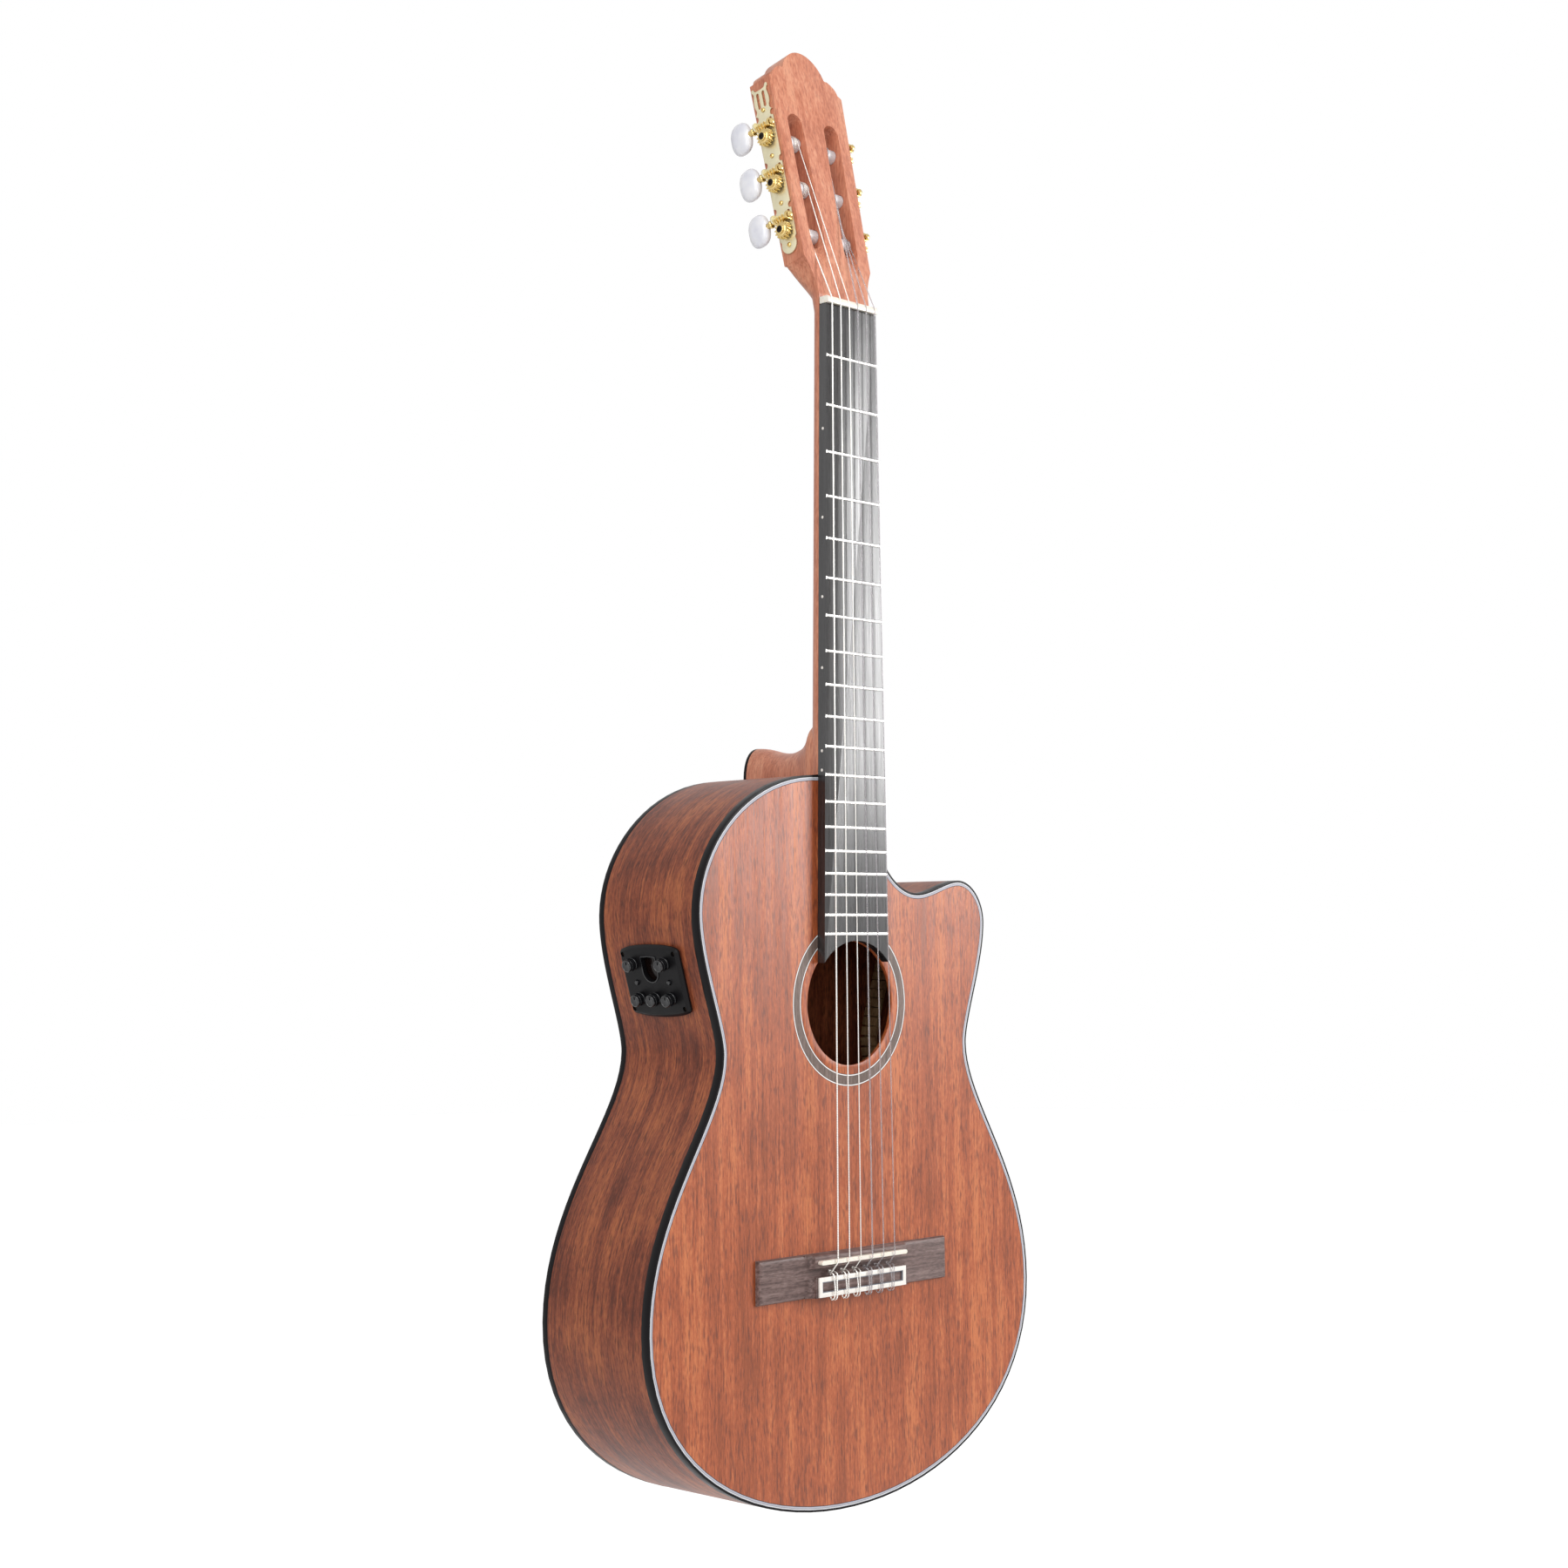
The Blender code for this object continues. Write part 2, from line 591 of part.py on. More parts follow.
def make_braces():
    """Fan bracing below the bridge area, cross bars above and below the hole, and two back bars."""
    under = -SOUNDBOARD_THICKNESS - GAP
    lattice = brace("top_bracing", (0, 283 * MM), 212 * MM, 90, -9 * MM, FRONT, under, "spruce_inside")
    for index in range(-2, 3):
        foot = (index * FAN_SPACING, 180 * MM)
        name = f"fan_strut_{index + 3}"
        strut = brace(name, foot, 206 * MM, index * 5.5, -5 * MM, FRONT, under, None, True)
        boolean(lattice, strut, "UNION")
    brace("upper_brace", (0, 402 * MM), 226 * MM, 90, -9 * MM, FRONT, under, "spruce_inside")
    above = BACK_THICKNESS + GAP
    brace("back_brace_upper", (0, 392 * MM), 250 * MM, 90, 11 * MM, BACK, above, "spruce_inside")
    brace("back_brace_lower", (0, 150 * MM), 345 * MM, 90, 11 * MM, BACK, above, "spruce_inside")


# Neck


def head_half_width(s):
    return HEAD_WIDTH_AT_SHOULDER / 2 + (s - HEAD_SHOULDER) * SLOT_TAPER


def section(origin, back, half_width, depth, squareness, steps=10):
    """A half-round to rectangular neck section, flat in front. Squareness 2 is an ellipse."""
    points = []
    for i in range(steps + 1):
        turn = HALF_TURN * i / steps
        across = math.copysign(abs(math.cos(turn)) ** (2 / squareness), -math.cos(turn))
        down = math.sin(turn) ** (2 / squareness) if 0 < i < steps else 0
        points.append(origin + Vector((across * half_width, 0, 0)) + back * (down * depth))
    return points


def neck_half_width(z):
    taper = (FRETBOARD_WIDTH_AT_12TH - FRETBOARD_WIDTH_AT_NUT) / SCALE_LENGTH
    return FRETBOARD_WIDTH_AT_NUT / 2 + (NUT_Z - z) * taper


def neck_sections():
    """From the shoulders of the headstock down to the body."""
    head_back = HEAD.to_3x3() @ Vector((0, 0, -1))
    rings = []
    for s, half_width, depth, squareness in SHOULDER_SECTIONS:
        origin = HEAD @ Vector((0, s * MM, 0))
        rings.append(section(origin, head_back, half_width * MM, depth * MM, squareness))
    body_end = BODY_LENGTH + GAP
    for fraction in (0, 0.3, 0.6, 0.87, 1):
        z = NUT_Z - 4 * MM + (body_end - NUT_Z + 4 * MM) * fraction
        depth = NECK_DEPTH_AT_NUT + (NECK_DEPTH_AT_HEEL - NECK_DEPTH_AT_NUT) * fraction
        rings.append(section(Vector((0, SOUNDBOARD_Y, z)), Vector((0, 1, 0)), neck_half_width(z), depth, 2.2))
    return rings


def heel_sections():
    """The heel, lofted from under the fretboard back to the cap: each ring is an upright arch."""
    rings = []
    bottom = BODY_LENGTH + GAP
    for depth, half_width, rise, roundness in HEEL_ARCHES:
        y = SOUNDBOARD_Y + depth * MM
        arch = []
        steps = 10
        for i in range(steps + 1):
            turn = HALF_TURN * i / steps
            across = math.copysign(abs(math.cos(turn)) ** (2 / roundness), -math.cos(turn))
            up = math.sin(turn) ** (2 / roundness) if 0 < i < steps else 0
            arch.append(Vector((across * half_width * MM, y, bottom + up * rise * MM)))
        rings.append(arch)
    return rings


def head_outline():
    """The headstock from its shoulders over the stepped crown, as (x, s)."""
    right = [(head_half_width(s), s) for s in (HEAD_SHOULDER, HEAD_CORNER)]
    right += [(35.3 * MM, 166.7 * MM), (33.6 * MM, 167.4 * MM)]
    ledge = (23.8 * MM, 175.9 * MM)
    right += bezier((33.2 * MM, 168.4 * MM), (-0.6 * MM, 3.2 * MM), (3.4 * MM, -0.8 * MM), ledge, 4)
    right += [ledge, (21.6 * MM, 175.7 * MM)]
    right += bezier((20.9 * MM, 176.6 * MM), (-2.6 * MM, 7.2 * MM), (10.5 * MM, 0), (0, HEAD_PEAK), 8)
    left = [(-x, s) for x, s in reversed(right)]
    return right + [(0, HEAD_PEAK)] + left


def slot_frame(side):
    """A frame along the middle of one slot, which lies parallel to the side of the headstock."""
    lean = Matrix.Rotation(-side * math.atan(SLOT_TAPER), 4, "Z")
    anchor = Matrix.Translation((side * SLOT_CENTRE_AT_TOP, SLOT_TOP, 0))
    return HEAD @ anchor @ lean


def cut_slots(neck):
    for side in (-1, 1):
        frame = slot_frame(side)
        through = [capsule(0, SLOT_THROUGH_START - SLOT_TOP, 0, SLOT_WIDTH)]
        boolean(neck, plate(f"slot_{side}", through, -40 * MM, 10 * MM, frame, None, True))
        start = Matrix.Translation((0, SLOT_RAMP_START - SLOT_TOP, 0))
        slope = frame @ start @ Matrix.Rotation(-SLOT_RAMP_SLOPE, 4, "X")
        ramp = [capsule(0, -6 * MM, 34 * MM, SLOT_WIDTH)]
        boolean(neck, plate(f"slot_ramp_{side}", ramp, 0, 20 * MM, slope, None, True))


def tuner_frame(side, index):
    """On the axis of one roller: origin on the side face, local x across the head, local y up it."""
    s = LOWEST_TUNER + index * TUNER_SPACING
    lean = side * math.atan(SLOT_TAPER)
    turn = Matrix.Rotation(-lean, 4, "Z")
    return HEAD @ Matrix.Translation((side * head_half_width(s), s, -TUNER_AXIS_DEPTH)) @ turn


def make_neck():
    neck = loft("neck", neck_sections(), Matrix.Identity(4), "mahogany_neck")
    boolean(neck, loft("heel_form", heel_sections(), Matrix.Identity(4), None, True), "UNION")
    boolean(neck, plate("head_form", [head_outline()], -HEAD_THICKNESS, 0, HEAD, None, True), "UNION")
    cut_slots(neck)
    for side in (-1, 1):
        for index in range(3):
            frame = tuner_frame(side, index) @ Matrix.Rotation(math.radians(90 * side), 4, "Y")
            s = LOWEST_TUNER + index * TUNER_SPACING
            depth = head_half_width(s) - ROLLER_END_X + 0.5 * MM
            radius = ROLLER_RADIUS + ROLLER_BORE_CLEARANCE
            name = f"roller_bore_{side}_{index}"
            boolean(neck, cylinder(name, radius, -depth, 10 * MM, frame, None, True, 16))
    cap = [(p.x, p.z) for p in heel_sections()[-1]]
    outside = -HEEL_DEPTH - GAP - HEEL_CAP_THICKNESS
    plate("heel_cap", [cap], outside, outside + HEEL_CAP_THICKNESS, FRONT, "black_binding")


def fret_z(number):
    return NUT_Z - SCALE_LENGTH * (1 - 2 ** (-number / 12))


def fretboard_outline():
    """Straight tapering edges, with the end cut round the sound hole."""
    half_at_hole = neck_half_width(HOLE_CENTRE_Z + 28 * MM)
    reach = math.sqrt(HOLE_RADIUS**2 - half_at_hole**2)
    tip = math.degrees(math.atan2(reach, half_at_hole))
    half = FRETBOARD_WIDTH_AT_NUT / 2
    return [(half, NUT_Z - GAP), (-half, NUT_Z - GAP)] + arc(HOLE, HOLE_RADIUS, 180 - tip, tip, 12)


def make_fretboard():
    board = plate("fretboard", [fretboard_outline()], GAP, GAP + FRETBOARD_THICKNESS, FRONT, "ebony")
    bm = bmesh.new()
    surface = GAP + FRETBOARD_THICKNESS
    crown = [(-0.5, -0.5), (0.5, -0.5), (0.35, 1.0), (-0.35, 1.0)]
    for number in range(1, FRET_COUNT + 1):
        z = fret_z(number)
        half = neck_half_width(z) - 0.25 * MM
        rows = []
        for x in (-half, half):
            rows.append([bm.verts.new((x, z + a * FRET_WIDTH, surface + b * FRET_HEIGHT)) for a, b in crown])
        for i in range(len(crown)):
            j = (i + 1) % len(crown)
            bm.faces.new((rows[0][i], rows[0][j], rows[1][j], rows[1][i]))
        bm.faces.new(rows[0])
        bm.faces.new(rows[1])
    boolean(board, mesh_object("fret_bars", bm, FRONT, None, True), "UNION")


def string_x_at_nut(index):
    return STRING_SPREAD_AT_NUT * (0.5 - index / 5)


def string_x_at_saddle(index):
    return STRING_SPREAD_AT_SADDLE * (0.5 - index / 5)


def make_nut():
    """Bone nut with a slot for each string; its top slopes back towards the headstock."""
    top = STRING_HEIGHT_AT_NUT + 0.2 * MM
    end = NUT_LENGTH - GAP
    profile = [(GAP, 0), (GAP, end), (top - 1.4 * MM, end), (top - 0.3 * MM, 2.8 * MM), (top, 1.2 * MM),
               (top - 0.5 * MM, 0)]
    rings = []
    for x in (-NUT_WIDTH / 2, NUT_WIDTH / 2):
        rings.append([Vector((x, SOUNDBOARD_Y - height, NUT_Z + along)) for height, along in profile])
    nut = loft("nut", rings, Matrix.Identity(4), "bone")
    for index, radius in enumerate(STRING_RADII):
        spot = Matrix.Translation((string_x_at_nut(index), SOUNDBOARD_Y - STRING_HEIGHT_AT_NUT, NUT_Z))
        frame = spot @ Matrix.Rotation(-NUT_SLOT_SLOPE, 4, "X")
        boolean(nut, cylinder(f"nut_slot_{index + 1}", radius + GAP, -5 * MM, 12 * MM, frame, None, True, 6))


# Bridge


def make_bridge():
    """Low wings with chamfered edges and a raised centre with the saddle slot, a trough and the tie block."""
    low_z = BRIDGE_TOP_Z - BRIDGE_WIDTH
    bm = bmesh.new()
    bmesh.ops.create_cube(bm, size=1.0)
    wings = Matrix.Translation((0, (BRIDGE_TOP_Z + low_z) / 2, GAP + WING_HEIGHT / 2)) @ Matrix.Diagonal(
        (BRIDGE_LENGTH, BRIDGE_WIDTH, WING_HEIGHT, 1)
    )
    bmesh.ops.transform(bm, matrix=wings, verts=bm.verts)
    top_edges = [e for e in bm.edges if all(v.co.z > GAP + WING_HEIGHT / 2 for v in e.verts)]
    bmesh.ops.bevel(bm, geom=top_edges, offset=2.2 * MM, segments=2, profile=0.6, affect="EDGES")
    bridge = mesh_object("bridge", bm, FRONT, "rosewood")
    trough_z = SADDLE_Z - 3.6 * MM
    centre = [
        (BRIDGE_TOP_Z - 0.4 * MM, GAP + 1 * MM), (BRIDGE_TOP_Z - 0.4 * MM, SADDLE_BLOCK_HEIGHT - 2.2 * MM),
        (BRIDGE_TOP_Z - 2.4 * MM, SADDLE_BLOCK_HEIGHT), (trough_z, SADDLE_BLOCK_HEIGHT),
        (trough_z - 0.8 * MM, TROUGH_FLOOR + 1 * MM), (trough_z - 1.4 * MM, TROUGH_FLOOR),
        (TIE_BLOCK_START_Z, TROUGH_FLOOR), (TIE_BLOCK_START_Z, TIE_BLOCK_HEIGHT),
        (low_z + 0.6 * MM, TIE_BLOCK_HEIGHT), (low_z + 0.6 * MM, GAP + 1 * MM),
    ]
    rings = []
    for x in (-BLOCK_LENGTH / 2, BLOCK_LENGTH / 2):
        rings.append([Vector((x, z, height)) for z, height in centre])
    boolean(bridge, loft("bridge_centre", rings, FRONT, None, True), "UNION")
    half = SADDLE_LENGTH / 2
    slot = capsule(0, -half - GAP, half + GAP, SADDLE_THICKNESS + 2 * GAP, 4)
    across = FRONT @ Matrix.Translation((0, SADDLE_Z, 0)) @ Matrix.Rotation(math.radians(90), 4, "Z")
    boolean(bridge, plate("saddle_slot", [slot], SADDLE_SLOT_FLOOR, 20 * MM, across, None, True))
    for index, radius in enumerate(STRING_RADII):
        x = string_x_at_saddle(index)
        frame = Matrix.Translation((x, SOUNDBOARD_Y - TIE_HOLE_HEIGHT, TIE_BLOCK_START_Z))
        hole = radius + GAP
        boolean(bridge, cylinder(f"tie_hole_{index + 1}", hole, -30 * MM, 5 * MM, frame, None, True, 6))
    pickup_low = SADDLE_SLOT_FLOOR + GAP
    pickup_high = pickup_low + PICKUP_THICKNESS
    saddle_loop = capsule(0, -half, half, SADDLE_THICKNESS, 6)
    saddle = plate("saddle", [saddle_loop], pickup_high + GAP, SADDLE_TOP - 0.9 * MM, across, "bone")
    bevel(saddle, 1.0 * MM, 1)
    strip = capsule(0, -PICKUP_HALF_LENGTH, PICKUP_HALF_LENGTH, SADDLE_THICKNESS - 0.4 * MM, 4)
    plate("saddle_pickup", [strip], pickup_low, pickup_high, across, "wound_silver")
    low = low_z + 0.9 * MM
    high = TIE_BLOCK_START_Z - 0.3 * MM
    half = TIE_FRAME_LENGTH / 2
    edge = TIE_FRAME_BORDER
    inlay = [rectangle(-half, low, half, high), rectangle(-half + edge, low + edge, half - edge, high - edge)]
    top = TIE_BLOCK_HEIGHT + TIE_FRAME_HEIGHT
    plate("tie_block_frame", inlay, TIE_BLOCK_HEIGHT + GAP, top, FRONT, "white_inlay")


# Tuning machines


def plate_outline():
    """Side plate with a round foot, scalloped edges and a lyre at its upper end, as (across, along)."""
    half = PLATE_WIDTH / 2
    foot = arc((0, PLATE_BOTTOM + 6.9 * MM), 6.9 * MM, 270, 360, 5)
    right = foot + [(6.4 * MM, PLATE_BOTTOM + 9.5 * MM), (half, PLATE_BOTTOM + 11.5 * MM)]
    for s in (77 * MM, 112 * MM):
        right += [(half, s - 1.6 * MM), (half - 1.1 * MM, s), (half, s + 1.6 * MM)]
    right += [(half, 139 * MM), (6.2 * MM, 141.5 * MM), (5.2 * MM, 144.5 * MM), (6.0 * MM, 147.5 * MM)]
    horn = (5.4 * MM, 157.5 * MM)
    right += bezier((7.6 * MM, 150 * MM), (0.8 * MM, 3 * MM), (0.6 * MM, -3.4 * MM), horn, 3)
    right += [horn, (7.0 * MM, 159.4 * MM), (6.4 * MM, PLATE_TOP)]
    right += [(4.0 * MM, 160.4 * MM), (2.6 * MM, 157.6 * MM)]
    left = [(-x, s) for x, s in reversed(right[1:])]
    return right + [(0, 156.6 * MM)] + left


def make_plate(side, name):
    """One side plate with the brackets that carry its three worm shafts."""
    middle = LOWEST_TUNER + TUNER_SPACING
    lean = tuner_frame(side, 1)
    frame = lean @ Matrix.Rotation(math.radians(90 * side), 4, "Y")
    # The loop is drawn with along = local y, measured from the middle roller.
    loop = [(x, s - middle) for x, s in plate_outline()]
    slots = []
    for x, shorter in ((-LYRE_SPACING, 1 * MM), (0, 0), (LYRE_SPACING, 1 * MM)):
        low = LYRE_LOW + shorter - middle
        high = LYRE_HIGH - shorter - middle
        slots.append(capsule(x, low, high, LYRE_SLOT_WIDTH, 3))
    made = plate(name, [loop] + slots, GAP, GAP + PLATE_THICKNESS, frame, "pale_gold")
    for index in range(3):
        along = (index - 1) * TUNER_SPACING
        spot = frame @ Matrix.Translation((0, along, 0))
        axle = cylinder(f"{name}_axle_hole_{index}", AXLE_RADIUS + GAP, -2 * MM, 4 * MM, spot, None, True, 12)
        worm = along + WORM_DISTANCE
        out = GAP + GEAR_STANDOFF
        for end in (-EAR_X, EAR_X):
            low = (end - EAR_THICKNESS / 2, worm - EAR_HALF_HEIGHT, GAP + 0.5 * MM)
            high = (end + EAR_THICKNESS / 2, worm + EAR_HALF_HEIGHT, out + 2.2 * MM)
            boolean(made, box(f"{name}_ear_{index}_{end > 0}", low, high, frame, None, True), "UNION")
        boolean(made, axle)
        shaft = frame @ Matrix.Translation((0, worm, out)) @ Matrix.Rotation(math.radians(90), 4, "Y")
        hole = WORM_JOURNAL + GAP
        boolean(made, cylinder(f"{name}_shaft_hole_{index}", hole, -9 * MM, 9 * MM, shaft, None, True, 8))
    return made


def gear_loop():
    """Fourteen teeth with a gap pointing along local +x, where the worm runs."""
    loop = []
    for tooth in range(GEAR_TEETH):
        middle = 360 / GEAR_TEETH * (tooth + 0.5)
        for radius, offset in ((GEAR_ROOT, -8.4), (GEAR_OUTER, -4.0), (GEAR_OUTER, 4.0), (GEAR_ROOT, 8.4)):
            turn = math.radians(middle + offset)
            loop.append((radius * math.cos(turn), radius * math.sin(turn)))
    return loop


def worm_lead():
    return 2 * math.pi * (WORM_DISTANCE - WORM_PITCH_RADIUS) / GEAR_TEETH * 0.985


def axle_frame(side, index):
    """Local z along +X of the headstock, local x up the headstock, origin at the gear's middle."""
    out = GAP + GEAR_STANDOFF
    base = tuner_frame(side, index) @ Matrix.Translation((side * out, 0, 0))
    axes = Matrix(((0, 0, 1, 0), (1, 0, 0, 0), (0, 1, 0, 0), (0, 0, 0, 1)))
    return base @ axes


def make_roller(side, index, number):
    """White roller, its axle through the side plate, and the gear wheel with its screw."""
    frame = axle_frame(side, index)
    s = LOWEST_TUNER + index * TUNER_SPACING
    out = GAP + GEAR_STANDOFF
    length = head_half_width(s) - ROLLER_END_X
    inward = -side
    near = inward * (out + 0.4 * MM)
    far = inward * (out + length)
    tip = side * 1.0 * MM
    profile = [(0, far), (ROLLER_RADIUS, far), (ROLLER_RADIUS, near), (AXLE_RADIUS, near), (AXLE_RADIUS, tip),
               (0, tip)]
    if inward < 0:
        profile = profile[::-1]
    roller = turned(f"tuner_roller_{number}", profile, frame, "nylon_white", 10)
    gear, middle = flat_curve([gear_loop()], -GEAR_WIDTH / 2, GEAR_WIDTH / 2)
    wheel = place(curve_to_mesh(gear), f"gear_form_{number}", frame @ middle, None, True)
    twist = wheel.modifiers.new("twist", "SIMPLE_DEFORM")
    twist.deform_method = "TWIST"
    twist.deform_axis = "Z"
    rise_per_length = worm_lead() / (2 * math.pi * WORM_PITCH_RADIUS)
    twist.angle = rise_per_length * GEAR_WIDTH / (WORM_DISTANCE - WORM_PITCH_RADIUS)
    boolean(roller, wheel, "UNION")
    head_low, head_high = sorted((side * 1.5 * MM, side * (GEAR_WIDTH / 2 + 0.9 * MM)))
    screw = cylinder(f"gear_screw_{number}", 2.3 * MM, head_low, head_high, frame, None, True, 8)
    boolean(roller, screw, "UNION")
    return roller


def worm_frame(side, index):
    """Beside the gear: local z along the worm shaft towards its button, local y towards the gear."""
    out = GAP + GEAR_STANDOFF
    base = tuner_frame(side, index) @ Matrix.Translation((side * out, WORM_DISTANCE, 0))
    return base @ Matrix.Rotation(HALF_TURN, 4, "X")


def make_worm(side, index, number):
    """A shaft with a real screw thread, collars outside its two ears, and a stem into the button."""
    frame = worm_frame(side, index)
    lead = worm_lead()
    profile = [
        (0, STEM_END), (STEM_RADIUS, STEM_END), (STEM_RADIUS, 12.5 * MM), (2.5 * MM, 11.6 * MM),
        (2.3 * MM, 8.2 * MM), (WORM_JOURNAL, 8.1 * MM), (WORM_JOURNAL, -8.1 * MM), (2.1 * MM, -8.2 * MM),
        (1.8 * MM, -9.7 * MM), (0, -9.9 * MM),
    ]
    shaft = turned(f"tuner_worm_{number}", profile, frame, "gold", 8)
    mesh = bpy.data.meshes.new(f"thread_form_{number}")
    bm = bmesh.new()
    start = -lead * 1.25
    inner = WORM_JOURNAL - 0.5 * MM
    corners = [(inner, -0.65), (inner, 0.65), (WORM_OUTER, 0.27), (WORM_OUTER, -0.27)]
    points = [bm.verts.new((r, 0, start + z * MM)) for r, z in corners]
    for a, b in zip(points, points[1:] + points[:1]):
        bm.edges.new((a, b))
    bm.to_mesh(mesh)
    bm.free()
    thread = bpy.data.objects.new(mesh.name, mesh)
    screw = thread.modifiers.new("wind", "SCREW")
    screw.steps = 8
    screw.render_steps = 8
    screw.iterations = WORM_TURNS
    screw.screw_offset = lead
    bpy.context.scene.collection.objects.link(thread)
    graph = bpy.context.evaluated_depsgraph_get()
    wound = bpy.data.meshes.new_from_object(thread.evaluated_get(graph))
    bpy.data.objects.remove(thread, do_unlink=True)
    bm = bmesh.new()
    bm.from_mesh(wound)
    bmesh.ops.remove_doubles(bm, verts=bm.verts, dist=0.000005)
    bmesh.ops.holes_fill(bm, edges=[e for e in bm.edges if e.is_boundary], sides=0)
    boolean(shaft, mesh_object(f"thread_{number}", bm, frame, None, True), "UNION")
    return shaft


def make_button(side, index, number):
    """Oval button, thin across and a little flattened, with a hole for the stem of the shaft."""
    frame = worm_frame(side, index) @ Matrix.Translation((0, 0, BUTTON_CENTRE))
    bm = bmesh.new()
    bmesh.ops.create_uvsphere(bm, u_segments=10, v_segments=6, radius=1.0)
    thin, high, long = BUTTON_HALF
    for v in bm.verts:
        rim = max(math.hypot(v.co.y, v.co.z), 1e-6)
        swell = rim**BUTTON_ROUNDNESS / rim
        v.co = Vector((v.co.x * thin, v.co.y * swell * high, v.co.z * swell * long))
    button = mesh_object(f"tuner_button_{number}", bm, frame, "pearl_white", smooth_angle=70)
    depth = STEM_END + GAP - BUTTON_CENTRE
    hole = cylinder(f"stem_hole_{number}", STEM_RADIUS + GAP, -30 * MM, depth, frame, None, True, 8)
    boolean(button, hole)
    return button


def make_tuners():
    """Strings 1 to 3 wind on the treble side and 4 to 6 on the bass side. 1 and 6 are the lowest."""
    make_plate(-1, "tuner_plate_bass")
    make_plate(1, "tuner_plate_treble")
    for side, numbers in ((1, (1, 2, 3)), (-1, (6, 5, 4))):
        for index, number in enumerate(numbers):
            make_roller(side, index, number)
            make_worm(side, index, number)
            make_button(side, index, number)


# Strings


def wrap_points(side, index, radius):
    """Turns round one roller, in world coordinates, from where the string comes on to its tucked end."""
    frame = tuner_frame(side, index)
    axis_x = (HEAD.inverted() @ frame.translation).x
    arrival, outwards = STRING_ARRIVALS[index]
    start = side * arrival - axis_x
    winding = (ROLLER_RADIUS + WRAP_CLEARANCE + radius) / math.cos(math.pi / WRAP_STEPS)
    pitch = 2 * radius + WRAP_SPACE
    points = []
    for step in range(round(WRAP_TURNS * WRAP_STEPS) + 1):
        turn = 2 * math.pi * step / WRAP_STEPS
        across = start + side * outwards * pitch * step / WRAP_STEPS
        points.append(frame @ Vector((across, winding * math.sin(turn), winding * math.cos(turn))))
    return points


def tie_points(x, radius):
    """The knot at the bridge: through the block, back over it, round the string and back again."""
    over = (TIE_BLOCK_HEIGHT + TIE_FRAME_HEIGHT + GAP + radius) / MM
    hole = TIE_HOLE_HEIGHT / MM
    low = (BRIDGE_TOP_Z - BRIDGE_WIDTH) / MM
    top = TIE_BLOCK_START_Z / MM
    route = [
        (0, hole + 0.3, top + 1.2), (0, hole, top), (0, hole, low + 0.2), (0.4, hole + 0.4, low - 1.4),
        (0.9, hole + 2.4, low - 2.0), (1.1, over - 0.3, low - 0.6), (1.2, over, low + 1.0),
        (1.3, over, top - 3), (1.7, over, top - 0.6), (1.9, over - 0.8, top + 1.2),
        (1.9, hole + 0.3, top + 2.5), (0, hole - 1.0, top + 3.0), (-1.9, hole + 0.3, top + 2.5),
        (-1.9, over - 0.8, top + 1.2), (-1.7, over, top - 0.6), (-1.3, over, top - 3),
        (-1.2, over, low + 1.0), (-1.4, over - 0.9, low - 0.9), (-1.9, over - 2.2, low - 1.6),
    ]
    return [Vector((x + across * MM, SOUNDBOARD_Y - height * MM, z * MM)) for across, height, z in route]


def least_gap(points, radius):
    """The least clear space between stretches of a string that lie over NEAR_ALONG apart along it."""
    samples = []
    travelled = 0
    for a, b in zip(points, points[1:]):
        length = (b - a).length
        if length > FREE_LENGTH:
            travelled += length
            continue
        count = max(1, math.ceil(length / (0.5 * MM)))
        samples += [(a.lerp(b, i / count), travelled + length * i / count) for i in range(count)]
        travelled += length
    least = 1.0
    for i, (first, first_at) in enumerate(samples):
        for second, second_at in samples[i + 1:]:
            if second_at - first_at > NEAR_ALONG:
                least = min(least, (second - first).length)
    return least - 2 * radius


def make_string(number):
    """One string from its knot at the bridge over the saddle and the nut to its roller."""
    radius = STRING_RADII[number - 1]
    side = 1 if number <= 3 else -1
    index = {1: 0, 2: 1, 3: 2, 4: 2, 5: 1, 6: 0}[number]
    saddle_x = string_x_at_saddle(number - 1)
    nut_x = string_x_at_nut(number - 1)
    wraps = wrap_points(side, index, radius)
    saddle = Vector((saddle_x, SOUNDBOARD_Y - SADDLE_TOP - GAP - radius, SADDLE_Z))
    nut = Vector((nut_x, SOUNDBOARD_Y - STRING_HEIGHT_AT_NUT, NUT_Z))
    nut_back = nut + Vector((0, 0.5 * MM, NUT_LENGTH - 0.6 * MM))
    saddle_back = Vector((saddle_x, saddle.y + 1.0 * MM, SADDLE_Z - 1.6 * MM))
    points = tie_points(saddle_x, radius)[::-1] + [saddle_back, saddle, nut, nut_back] + wraps
    paint = "clear_nylon" if number <= 3 else "wound_silver"
    tube(f"string_{number}", points, radius, Matrix.Identity(4), paint, 1)
    print(f"string_{number}: least gap to itself {least_gap(points, radius) / MM:.2f} mm")


# Preamp and jack


def preamp_frame():
    """On the bass side of the body: local z outwards, local y up the side, local x to the front."""
    outline = body_outline()
    above = min((p for p in outline if p[0] < 0 and p[1] > PREAMP_Z), key=lambda p: p[1] - PREAMP_Z)
    below = min((p for p in outline if p[0] < 0 and p[1] <= PREAMP_Z), key=lambda p: PREAMP_Z - p[1])
    share = (PREAMP_Z - below[1]) / (above[1] - below[1])
    x = below[0] + (above[0] - below[0]) * share
    up = Vector((above[0] - below[0], 0, above[1] - below[1])).normalized()
    out = Vector((-up.z, 0, up.x))
    front = up.cross(out)
    axes = Matrix((front, up, out)).transposed().to_4x4()
    return Matrix.Translation((x, PREAMP_Y, PREAMP_Z)) @ axes


